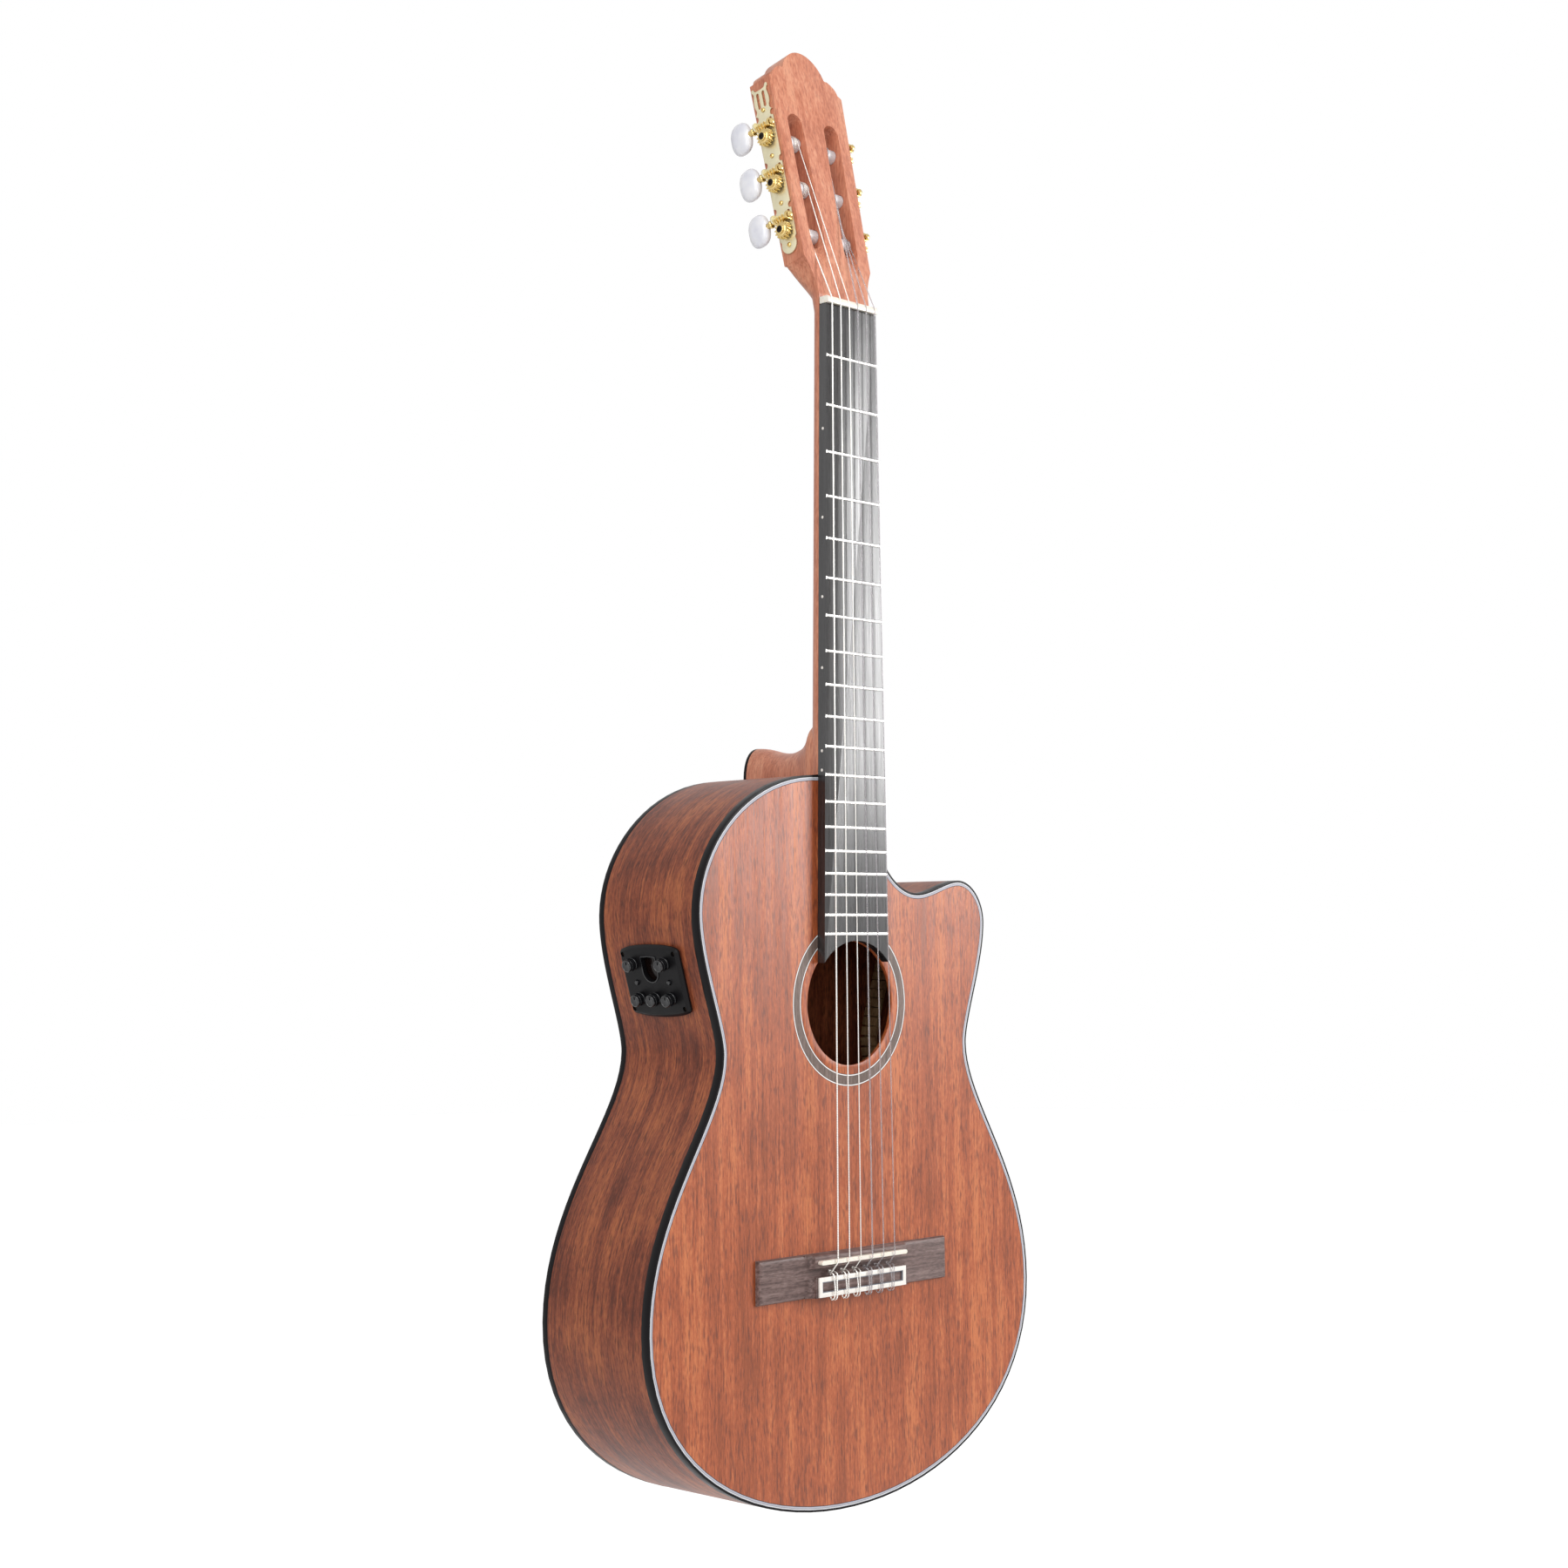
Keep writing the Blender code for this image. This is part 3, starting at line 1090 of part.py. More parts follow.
def panel_loop():
    """A panel with bowed top and bottom edges and small round corners."""
    w = PANEL_HALF_WIDTH
    h = PANEL_HALF_HEIGHT
    r = 2.5 * MM
    corner = w - r * 0.3
    rise = PANEL_BOW * 1.2
    top = bezier((corner, h), (-10 * MM, rise), (10 * MM, rise), (-corner, h), 8)
    bottom = [(-x, -y) for x, y in top]
    loop = [(w, -h + r), (w, h - r)] + top + [(-corner, h), (-w, h - r), (-w, -h + r)]
    return loop + bottom + [(corner, -h)]


def window_loop():
    """The deep window with a round lower end and a nearly flat top."""
    x, y = WINDOW_CENTRE
    r = WINDOW_RADIUS
    top = [(x + r, WINDOW_TOP - 1 * MM), (x + r - 1 * MM, WINDOW_TOP - 0.3 * MM), (x, WINDOW_TOP),
           (x - r + 1 * MM, WINDOW_TOP - 0.3 * MM), (x - r, WINDOW_TOP - 1 * MM)]
    return arc((x, y), r, 180, 360, 8) + top


def make_preamp():
    frame = preamp_frame()
    base = PANEL_STANDOFF
    top = base + PANEL_THICKNESS
    panel = plate("preamp_panel", [panel_loop(), window_loop()], base, top, frame, "black_plastic")
    bevel(panel, 0.6 * MM, 1, 60)
    for i, (x, y) in enumerate(PUSH_BUTTON_PLACES):
        spot = frame @ Matrix.Translation((x * MM, y * MM, 0))
        hole = PUSH_BUTTON_RADIUS + 1.5 * GAP
        boolean(panel, cylinder(f"push_hole_{i}", hole, -5 * MM, 8 * MM, spot, None, True, 10))
    for i, (x, y) in enumerate(KNOB_PLACES):
        spot = frame @ Matrix.Translation((x * MM, y * MM, 0))
        boolean(panel, cylinder(f"knob_hole_{i}", 1.9 * MM, -5 * MM, 8 * MM, spot, None, True, 8))
    for x in (-SCREW_X, SCREW_X):
        for y in (-SCREW_Y, SCREW_Y):
            spot = frame @ Matrix.Translation((x, y, 0))
            name = f"screw_well_{x > 0}_{y > 0}"
            boolean(panel, cylinder(name, 1.7 * MM, top - 1.4 * MM, top + 5 * MM, spot, None, True, 8))
    make_housing(frame, base)
    lens = inset(window_loop(), -LENS_RIM)
    plate("display_lens", [lens], base - GAP - LENS_THICKNESS, base - GAP, frame, "display")
    for i, (x, y) in enumerate(KNOB_PLACES):
        make_knob(f"preamp_knob_{i + 1}", frame @ Matrix.Translation((x * MM, y * MM, top)))
    for i, (x, y) in enumerate(PUSH_BUTTON_PLACES):
        spot = frame @ Matrix.Translation((x * MM, y * MM, top))
        under = -PANEL_THICKNESS
        profile = [(0, PUSH_BUTTON_PROUD), (1.1 * MM, PUSH_BUTTON_PROUD), (PUSH_BUTTON_RADIUS, 1.2 * MM),
                   (PUSH_BUTTON_RADIUS, under), (2.4 * MM, under - 0.3 * MM), (2.4 * MM, under - 0.9 * MM),
                   (0, under - 0.9 * MM)]
        turned(f"preamp_button_{i + 1}", profile, spot, "black_plastic", 10)


def make_housing(frame, base):
    """A tray behind the panel, open towards it, with the battery at its floor."""
    w = HOUSING_WIDTH / 2
    h = HOUSING_HEIGHT / 2
    t = HOUSING_WALL
    rim = base - GAP
    low = rim - HOUSING_DEPTH
    housing = box("preamp_housing", (-w, -h, low), (w, h, rim), frame, "black_plastic")
    hollow = box("housing_hollow", (-w + t, -h + t, low + t), (w - t, h - t, rim + 5 * MM), frame, None, True)
    boolean(housing, hollow)
    across, up, deep = BATTERY_SIZE
    left = -across / 2
    foot = -h + t + GAP
    floor = low + t + GAP
    box("battery", (left, foot, floor), (left + across, foot + up, floor + deep), frame, "battery_grey")


def ribbed_ring(radius, height):
    """One level of a knob's grip: two points on each rib and one in each groove."""
    ring_points = []
    for rib in range(KNOB_RIBS):
        middle = 2 * math.pi * rib / KNOB_RIBS
        for share, depth in ((-0.5, KNOB_GROOVE), (-0.2, 0), (0.2, 0)):
            turn = middle + share * 2 * math.pi / KNOB_RIBS
            reach = radius - depth
            ring_points.append((reach * math.cos(turn), reach * math.sin(turn), height))
    return ring_points


def make_knob(name, frame):
    """A knob with ribs round its grip and a chamfered top, on a stem through the panel."""
    rings = [
        ribbed_ring(KNOB_RADIUS, KNOB_FOOT), ribbed_ring(KNOB_RADIUS, KNOB_HEIGHT - 0.5 * MM),
        ribbed_ring(KNOB_RADIUS * 0.9, KNOB_HEIGHT),
    ]
    knob = loft(name, rings, frame, "black_plastic")
    stem = cylinder(name + "_stem", KNOB_STEM_RADIUS, -6 * MM, KNOB_FOOT + 1 * MM, frame, None, True, 8)
    boolean(knob, stem, "UNION")


def make_jack():
    """Output jack: a flange outside the tail, a tube through the block, and an open bore for a plug."""
    frame = Matrix.Translation((0, JACK_Y, 0))
    flange_top = -0.5 * MM
    face = flange_top - 2 * MM
    bore_end = JACK_INSIDE - 3 * MM
    tube_radius = JACK_TUBE_RADIUS
    rim = JACK_FLANGE_RADIUS
    bore = JACK_BORE_RADIUS
    profile = [
        (0, JACK_INSIDE), (tube_radius, JACK_INSIDE), (tube_radius, flange_top), (rim, flange_top),
        (rim, flange_top - 1.2 * MM), (rim - 1.2 * MM, face), (bore, face), (bore, bore_end), (0, bore_end),
    ]
    turned("output_jack", profile, frame, "gold", 12)


def main():
    global parts, cutters
    clear_scene()
    parts = make_collection("classical_guitar")
    cutters = make_collection("cutters", hidden=True)
    make_materials()
    make_shell()
    make_blocks()
    make_braces()
    make_neck()
    make_fretboard()
    make_nut()
    make_bridge()
    make_tuners()
    for number in range(1, 7):
        make_string(number)
    make_preamp()
    make_jack()


main()
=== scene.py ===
import math

import bmesh
import bpy
from mathutils import Matrix, Vector
from mathutils.geometry import interpolate_bezier
from mathutils.kdtree import KDTree


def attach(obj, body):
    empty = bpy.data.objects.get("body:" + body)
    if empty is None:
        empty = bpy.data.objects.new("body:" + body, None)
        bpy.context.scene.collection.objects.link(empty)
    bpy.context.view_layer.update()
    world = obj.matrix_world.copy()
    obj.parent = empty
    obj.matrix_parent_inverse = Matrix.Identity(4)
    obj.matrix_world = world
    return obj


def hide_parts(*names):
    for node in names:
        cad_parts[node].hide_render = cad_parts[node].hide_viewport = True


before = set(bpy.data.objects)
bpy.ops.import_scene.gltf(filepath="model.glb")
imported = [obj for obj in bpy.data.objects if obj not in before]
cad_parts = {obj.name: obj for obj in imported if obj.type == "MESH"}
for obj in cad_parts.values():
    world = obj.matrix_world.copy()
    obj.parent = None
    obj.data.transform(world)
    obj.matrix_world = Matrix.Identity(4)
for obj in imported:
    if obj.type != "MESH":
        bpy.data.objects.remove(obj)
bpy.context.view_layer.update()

# Up is +Z, the front faces -Y and the treble side is +X. Plain numbers are millimetres and degrees.
# Vectors and matrices are in metres: at, shift and spin make them.
MM = 0.001
FRONT_Y = -48
BODY_LENGTH = 496
DEPTH_AT_TAIL = 105
DEPTH_AT_NECK = 94
BACK_SLOPE = math.degrees(math.atan((DEPTH_AT_TAIL - DEPTH_AT_NECK) / BODY_LENGTH))
TOP_THICKNESS = 2.6
BACK_THICKNESS = 2.8
SIDE_THICKNESS = 2.2
BINDING_WIDTH = 1.5
FRONT_BINDING_HEIGHT = 6.5
BACK_BINDING_HEIGHT = 5
LINING_DEPTH = 5.4
LINING_HEIGHT = 12
KERF_SPACING = 7
HOLE_Z = 340.6
HOLE_RADIUS = 42.5
ROSETTE_INNER = 48.7
ROSETTE_OUTER = 56.8
SCALE_LENGTH = 650
NUT_Z = 821
NUT_LENGTH = 5
NUT_HALF = 25.5
BOARD_GAP = 0.3
BOARD_THICKNESS = 6.5
BOARD_HALF_AT_NUT = 25.35
BOARD_WIDENING = 10.1 / 650
HEAD_TILT = 12.5
HEAD_THICKNESS = 19.5
HEAD_SHOULDER = 29
HEAD_CORNER = 165.4
HEAD_PEAK = 192
HEAD_HALF_AT_SHOULDER = 33.85
HEAD_WIDENING = 3.35 / 136.4
HEEL_DEPTH = 84
SLOT_WIDTH = 14.7
SLOT_TOP = 140
SLOT_FOOT = 40
SLOT_X = 18.7
RAMP_TIP = 26
RAMP_SLOPE = 20
TUNER_SPACING = 35
LOWEST_TUNER = 51.5
TUNER_DEPTH = 10.2
PLATE_THICKNESS = 1.2
EAR_X = 6.9
GEAR_STANDOFF = 4.9
GEAR_WIDTH = 4
WORM_DISTANCE = 8.2
WORM_PITCH_RADIUS = 2.2
GEAR_TEETH = 14
BUTTON_CENTRE = 21.3
BRIDGE_HALF = 94
BRIDGE_TOP_Z = 174
BRIDGE_LOW_Z = BRIDGE_TOP_Z - 29.3
WING_HEIGHT = 3.9
SADDLE_Z = 168.6
SADDLE_TOP = 12.8
SADDLE_HALF = 43
TIE_BLOCK_Z = 159.1
TIE_BLOCK_HEIGHT = 8.9
TIE_HOLE_HEIGHT = 6.1
STRING_RADII = (0.36, 0.42, 0.52, 0.38, 0.45, 0.55)
STRINGS_AT_BRIDGE = 57.4
STRINGS_AT_NUT = 43.5
STRING_HEIGHT_AT_NUT = 8.8
ROLLER_RADIUS = 5
PREAMP_OPENING = (22.8, 19.8)
PANEL_HALF = 28
PANEL_TOP = 4.3
PANEL_SCREW_DEPTH = 1.4
KNOB_PLACES = ((-15.2, 12.5), (15.2, 12.5), (-14.7, -11.5), (0.0, -11.5), (14.7, -11.5))
PUSH_PLACES = ((-15.3, -0.5), (15.3, -0.5))


def at(x, y, z):
    """A point or a step in metres."""
    return Vector((x * MM, y * MM, z * MM))


def shift(x, y, z):
    return Matrix.Translation((x * MM, y * MM, z * MM))


def spin(degrees, axis):
    return Matrix.Rotation(math.radians(degrees), 4, axis)


FRONT = shift(0, FRONT_Y, 0) @ spin(90, "X")
BACK = shift(0, FRONT_Y + DEPTH_AT_TAIL, 0) @ spin(90 + BACK_SLOPE, "X")
HEAD = shift(0, FRONT_Y - 0.6, NUT_Z + NUT_LENGTH) @ spin(90 - HEAD_TILT, "X")
JACK = shift(0, 3, 0)
# Sets up a shape drawn in profile: its x becomes y, its y becomes z and its thickness lies along x.
PROFILE = Matrix(((0, 0, 1, 0), (1, 0, 0, 0), (0, 1, 0, 0), (0, 0, 0, 1)))


# Bench work: picking, cutting, placing and finishing pieces

def pick(obj):
    bpy.ops.object.select_all(action="DESELECT")
    obj.select_set(True)
    bpy.context.view_layer.objects.active = obj


def open_mesh(obj):
    pick(obj)
    bpy.ops.object.mode_set(mode="EDIT")
    bpy.ops.mesh.select_all(action="SELECT")


def close_mesh():
    """Merges what lies together and turns the faces outwards."""
    bpy.ops.mesh.select_all(action="SELECT")
    bpy.ops.mesh.remove_doubles(threshold=2e-6)
    bpy.ops.mesh.normals_make_consistent(inside=False)
    bpy.ops.object.mode_set(mode="OBJECT")


def cleaned(obj):
    open_mesh(obj)
    close_mesh()
    return obj


def added(name, data):
    obj = bpy.data.objects.new(name, data)
    bpy.context.scene.collection.objects.link(obj)
    return obj


def scrap(*objects):
    for obj in objects:
        bpy.data.objects.remove(obj, do_unlink=True)


def apply_to(obj, kind, **settings):
    modifier = obj.modifiers.new(kind.lower(), kind)
    for key, value in settings.items():
        setattr(modifier, key, value)
    pick(obj)
    bpy.ops.object.modifier_apply(modifier=modifier.name)
    return obj


def soften(obj, width, segments=2, angle=40):
    """Rounds the edges that a hand would feel."""
    return apply_to(obj, "BEVEL", width=width * MM, segments=segments, limit_method="ANGLE",
                    angle_limit=math.radians(angle))


def cut(obj, *others, operation="DIFFERENCE"):
    for other in others:
        apply_to(obj, "BOOLEAN", object=other, operation=operation, solver="EXACT")
        scrap(other)
    return obj


def placed(obj, place=Matrix.Identity(4)):
    """Puts a piece in its place and applies that to its mesh."""
    obj.matrix_world = place @ obj.matrix_world
    pick(obj)
    bpy.ops.object.transform_apply(location=True, rotation=True, scale=True)
    return obj


def copied(obj, place):
    return placed(added(obj.name, obj.data.copy()), place)


def joined(obj, *others):
    pick(obj)
    for other in others:
        other.select_set(True)
    bpy.ops.object.join()
    return obj


def sliced(obj, point, normal):
    """Saws off what lies beyond a plane and closes the cut."""
    open_mesh(obj)
    bpy.ops.mesh.bisect(plane_co=point, plane_no=normal, clear_outer=True, use_fill=True)
    close_mesh()
    return obj


def dressed(obj, name, finish, body="guitar", stands_for=None, smooth=35):
    """Names a finished piece, gives it its finish and lets it ride on its body."""
    material, usual_slot = FINISHES[finish]
    obj.name = name
    obj.data.name = name
    obj.data.materials.clear()
    obj.data.materials.append(material)
    pick(obj)
    bpy.ops.object.shade_smooth_by_angle(angle=math.radians(smooth))
    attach(obj, body)
    if stands_for:
        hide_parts(stands_for)


# Shapes that many pieces start from

def meshed(name, curve):
    pick(added(name, curve))
    bpy.ops.object.convert(target="MESH")
    return cleaned(bpy.context.object)


def board(loops, low, high):
    """A flat board with drawn edges, from local z = low to high. Loops after the first are holes."""
    curve = bpy.data.curves.new("edge", "CURVE")
    curve.dimensions = "2D"
    curve.fill_mode = "BOTH"
    curve.extrude = (high - low) / 2 * MM
    for loop in loops:
        spline = curve.splines.new("POLY")
        spline.points.add(len(loop) - 1)
        for point, (x, y) in zip(spline.points, loop):
            point.co = (x * MM, y * MM, 0, 1)
        spline.use_cyclic_u = True
    return placed(meshed("board", curve), shift(0, 0, (low + high) / 2))


def block(low, high):
    """A squared block between two corners."""
    low, high = at(*low), at(*high)
    bpy.ops.mesh.primitive_cube_add(size=1, location=(low + high) / 2, scale=high - low)
    return placed(bpy.context.object)


def turned(rings, sides=32):
    """A round piece turned about local z. Rings are (radius, height) and may step back into a bore."""
    (radius, height), *rest = rings
    bpy.ops.mesh.primitive_circle_add(vertices=sides, radius=radius * MM, fill_type="NGON",
                                      location=(0, 0, height * MM))
    obj = placed(bpy.context.object)
    open_mesh(obj)
    for next_radius, next_height in rest:
        rise = (0, 0, (next_height - height) * MM)
        bpy.ops.mesh.extrude_region_move(TRANSFORM_OT_translate={"value": rise})
        scale = next_radius / radius
        bpy.ops.transform.resize(value=(scale, scale, 1), center_override=(0, 0, next_height * MM))
        radius, height = next_radius, next_height
    close_mesh()
    return obj


def skinned(rows):
    """A closed form laid over rows of points, one row for each cross-section."""
    bpy.ops.mesh.primitive_grid_add(x_subdivisions=len(rows[0]), y_subdivisions=len(rows) - 1)
    obj = bpy.context.object
    points = [point for row in rows for point in row + row[:1]]
    for vertex, point in zip(obj.data.vertices, points):
        vertex.co = point
    open_mesh(obj)
    bpy.ops.mesh.remove_doubles(threshold=2e-6)
    bpy.ops.mesh.select_all(action="SELECT")
    bpy.ops.mesh.fill_holes(sides=0)
    close_mesh()
    return obj


def repeated(obj, places):
    """One piece made of copies of a small shape, one for each place."""
    mesh = bmesh.new()
    for place in places:
        first = len(mesh.verts)
        mesh.from_mesh(obj.data)
        mesh.verts.ensure_lookup_table()
        bmesh.ops.transform(mesh, matrix=place, verts=mesh.verts[first:])
    mesh.to_mesh(obj.data)
    mesh.free()
    return obj


def wire(points, radius, corners):
    """A round wire laid smoothly through points. At the corners it runs straight on both sides."""
    curve = bpy.data.curves.new("wire", "CURVE")
    curve.dimensions = "3D"
    curve.bevel_depth = radius * MM
    curve.bevel_resolution = 4
    curve.resolution_u = 6
    curve.use_fill_caps = True
    spline = curve.splines.new("BEZIER")
    spline.bezier_points.add(len(points) - 1)
    for i, (knot, point) in enumerate(zip(spline.bezier_points, points)):
        knot.co = point
        knot.handle_left_type = "VECTOR" if i in corners else "AUTO"
        knot.handle_right_type = "VECTOR" if i in corners else "AUTO"
    return meshed("wire", curve)


def arc(centre, radius, start, end, steps):
    turns = [math.radians(start + (end - start) * i / steps) for i in range(steps + 1)]
    return [(centre[0] + radius * math.cos(t), centre[1] + radius * math.sin(t)) for t in turns]


def circle(centre, radius, steps=96):
    return arc(centre, radius, 0, 360, steps)[:-1]


def capsule(x, low, high, width, steps=16):
    r = width / 2
    return arc((x, high - r), r, 0, 180, steps) + arc((x, low + r), r, 180, 360, steps)


def bend(start, out, into, end, steps):
    """Points of a smooth bend, without its last point. out and into are handles."""
    a = Vector((*start, 0))
    b = Vector((*end, 0))
    points = interpolate_bezier(a, a + Vector((*out, 0)), b + Vector((*into, 0)), b, steps + 1)
    return [(p.x, p.y) for p in points][:-1]


def mirrored(points):
    """The points again in reverse, on the other side of x = 0."""
    return [(-x, y) for x, y in reversed(points)]


def half_oval(squareness, steps=28):
    """Half an oval from left to right as (across, away), each up to 1. Squareness fills its corners."""
    points = []
    for i in range(steps + 1):
        turn = math.pi * i / steps
        across = math.copysign(abs(math.cos(turn)) ** (2 / squareness), -math.cos(turn))
        points.append((across, math.sin(turn) ** (2 / squareness) if 0 < i < steps else 0))
    return points


def eased(rows, steps):
    """Rows of numbers with smooth ones set between them."""
    full = []
    for i in range(len(rows) - 1):
        before = rows[max(i - 1, 0)]
        after = rows[min(i + 2, len(rows) - 1)]
        for step in range(steps):
            t = step / steps
            full.append(tuple(
                0.5 * (2 * b + (c - a) * t + (2 * a - 5 * b + 4 * c - d) * t**2
                       + (3 * b - a - 3 * c + d) * t**3)
                for a, b, c, d in zip(before, rows[i], rows[i + 1], after)
            ))
    return full + [rows[-1]]


def moved_in(loop, distance):
    """The loop moved inwards by a distance, with mitred corners."""
    area = sum(a[0] * b[1] - b[0] * a[1] for a, b in zip(loop, loop[1:] + loop[:1]))
    inward = 1 if area > 0 else -1
    moved = []
    for before, here, after in zip(loop[-1:] + loop[:-1], loop, loop[1:] + loop[:1]):
        first = Vector((here[0] - before[0], here[1] - before[1])).normalized()
        second = Vector((after[0] - here[0], after[1] - here[1])).normalized()
        normal = Vector((-first.y - second.y, first.x + second.x)).normalized() * inward
        reach = distance / normal.dot(Vector((-first.y, first.x)) * inward)
        moved.append((here[0] + normal.x * reach, here[1] + normal.y * reach))
    return moved


def edge_ring(edge, outer, inner):
    """The strip between two distances from an edge."""
    return [moved_in(edge, outer), moved_in(edge, inner)]


def follow(obj, path):
    """A map in metres for grain that follows a closed bend: u runs along the path, v is the depth along Y."""
    path = [(x * MM, z * MM) for x, z in path]
    run = [0.0]
    for a, b in zip(path, path[1:] + path[:1]):
        run.append(run[-1] + math.dist(a, b))
    total = run[-1]
    tree = KDTree(len(path))
    for i, (x, z) in enumerate(path):
        tree.insert((x, 0, z), i)
    tree.balance()
    layer = obj.data.uv_layers.new(name="run")
    obj.data.uv_layers.active = layer
    for face in obj.data.polygons:
        middle = run[tree.find((face.center.x, 0, face.center.z))[1]]
        for corner in face.loop_indices:
            point = obj.data.vertices[obj.data.loops[corner].vertex_index].co
            along = run[tree.find((point.x, 0, point.z))[1]]
            along -= round((along - middle) / total) * total
            layer.data[corner].uv = (along, point.y)


# Finishes

def linear(colour):
    """An sRGB hex colour as linear light."""
    parts = [int(colour[i:i + 2], 16) / 255 for i in (1, 3, 5)]
    return (*[c / 12.92 if c <= 0.04045 else ((c + 0.055) / 1.055) ** 2.4 for c in parts], 1)


def node(tree, kind, inputs=None, stops=None, **settings):
    """Adds a shader node with its settings. An input that is an output socket is linked."""
    made = tree.nodes.new("ShaderNode" + kind)
    for key, value in settings.items():
        setattr(made, key, value)
    for key, value in (inputs or {}).items():
        if isinstance(value, bpy.types.NodeSocket):
            tree.links.new(value, made.inputs[key])
        else:
            made.inputs[key].default_value = value
    if stops:
        while len(made.color_ramp.elements) < len(stops):
            made.color_ramp.elements.new(0.5)
        for element, (position, colour) in zip(made.color_ramp.elements, stops):
            element.position = position
            element.color = linear(colour)
    return made


def start_finish(name, colour, roughness, metallic=0.0, gloss=0.5, **shader):
    """A finish with its nodes and its shader. gloss is how much light the skin throws back."""
    made = bpy.data.materials.new(name)
    made.use_nodes = True
    tree = made.node_tree
    surface = tree.nodes["Principled BSDF"]
    surface.inputs["Base Color"].default_value = linear(colour)
    shader.update(Roughness=roughness, Metallic=metallic, Specular_IOR_Level=gloss)
    for key, value in shader.items():
        surface.inputs[key.replace("_", " ")].default_value = value
    return made, tree, surface


def noise(tree, place, size, detail, **more):
    inputs = {0: place, "Scale": 1 / (size * MM), "Detail": detail, **more}
    return node(tree, "TexNoise", inputs).outputs[0]


def bumped(tree, surface, height, depth, strength=0.3):
    bump = node(tree, "Bump", {"Strength": strength, "Distance": depth * MM, "Height": height})
    tree.links.new(bump.outputs[0], surface.inputs["Normal"])


def wood(name, dark, middle, pale, pore, along=2, roughness=0.4, figure=0.6, pore_share=0.6, on_run=False,
         stripe=11, gloss=0.35):
    """Open-pored wood: broad stripes, patches, fine fibres and short dark pores, drawn out along the grain.

    A real pore is 0.2 mm wide. It is drawn 1.4 mm wide here, as coarse as it needs to be to show.
    """
    made, tree, surface = start_finish(name, middle, roughness, gloss=gloss)
    if on_run:
        place = node(tree, "UVMap", uv_map="run").outputs[0]
        along = 0
    else:
        place = node(tree, "TexCoord").outputs["Object"]

    def grain(across, length, detail):
        scale = [1 / (across * MM)] * 3
        scale[along] = 1 / (length * MM)
        mapped = node(tree, "Mapping", {0: place, 3: scale})
        return node(tree, "TexNoise", {0: mapped.outputs[0], "Scale": 1.0, "Detail": detail,
                                       "Roughness": 0.55, "Distortion": 0.15}).outputs[0]

    fibres = grain(1.7, 45, 3)
    layers = ((grain(stripe, 260, 2), 1.0), (fibres, 0.9), (grain(38, 55, 2), figure),
              (grain(1.3, 4, 2), 0.7))
    total = sum(weight for _, weight in layers)
    mixed = 0.0
    for layer, weight in layers:
        share = {0: layer, 1: weight / total, 2: mixed}
        mixed = node(tree, "Math", share, operation="MULTIPLY_ADD").outputs[0]
    colour = node(tree, "ValToRGB", {0: mixed}, [(0.415, dark), (0.5, middle), (0.585, pale)])
    pores = grain(1.4, 9, 1)
    mask = node(tree, "MapRange", {0: pores, 1: 0.53, 2: 0.68, 3: 0.0, 4: pore_share})
    stained = node(tree, "Mix", {0: mask.outputs[0], 6: colour.outputs[0], 7: linear(pore)}, data_type="RGBA")
    tree.links.new(stained.outputs[2], surface.inputs["Base Color"])
    dull = node(tree, "MapRange", {0: fibres, 1: 0.3, 2: 0.7, 3: roughness - 0.05, 4: roughness + 0.08})
    tree.links.new(dull.outputs[0], surface.inputs["Roughness"])
    height = node(tree, "Math", {0: fibres, 1: mask.outputs[0]}, operation="SUBTRACT")
    bumped(tree, surface, height.outputs[0], 0.1)
    return made


def moulded(name, colour, roughness, grit=0.6, depth=0.02, spread=0.06, **shader):
    """Moulded or polished stuff with a fine even texture and slight changes of gloss."""
    made, tree, surface = start_finish(name, colour, roughness, **shader)
    place = node(tree, "TexCoord").outputs["Object"]
    fine = noise(tree, place, grit, 2.0)
    cloudy = noise(tree, place, 9, 3.0)
    dull = node(tree, "MapRange", {0: cloudy, 1: 0.3, 2: 0.7, 3: roughness - spread, 4: roughness + spread})
    tree.links.new(dull.outputs[0], surface.inputs["Roughness"])
    bumped(tree, surface, fine, depth)
    value = node(tree, "MapRange", {0: cloudy, 3: 0.93, 4: 1.07})
    tone = node(tree, "HueSaturation", {"Value": value.outputs[0], "Color": linear(colour)})
    tree.links.new(tone.outputs[0], surface.inputs["Base Color"])
    return made


def wound_wire(name, colour, pitch):
    """Silvered wire wound round a core: fine ridges across the string, with painted shade that darkens the
    grooves.

    Real ridges are about 0.2 mm apart, and are drawn coarser to show. A wave repeats every 0.314 / Scale.
    """
    made, tree, surface = start_finish(name, colour, 0.3, 0.55)
    place = node(tree, "TexCoord").outputs["Object"]
    ridges = node(tree, "TexWave", {0: place, "Scale": 0.314 / (pitch * MM), "Distortion": 0.0},
                  bands_direction="Z", wave_type="BANDS").outputs["Fac"]
    # Painted shade: the colour runs darker into the grooves between the turns of wire.
    tone = node(tree, "ValToRGB", {0: ridges}, [(0.0, "#b9b6b0"), (0.6, colour)])
    tree.links.new(tone.outputs[0], surface.inputs["Base Color"])
    bumped(tree, surface, ridges, 0.08, 0.5)
    return made


def pearl_plastic(name):
    """Cast pearl plastic: faint milky clouds under a polished skin."""
    made, tree, surface = start_finish(name, "#e9e8ee", 0.2, Coat_Weight=0.4, Coat_Roughness=0.1,
                                       Subsurface_Weight=0.1, Subsurface_Radius=(0.002, 0.002, 0.0022))
    cloud = noise(tree, node(tree, "TexCoord").outputs["Object"], 14, 2.0, Distortion=0.4)
    tone = node(tree, "ValToRGB", {0: cloud}, [(0.3, "#dedee7"), (0.5, "#e8e8ee"), (0.7, "#f1f0f3")])
    tree.links.new(tone.outputs[0], surface.inputs["Base Color"])
    return made


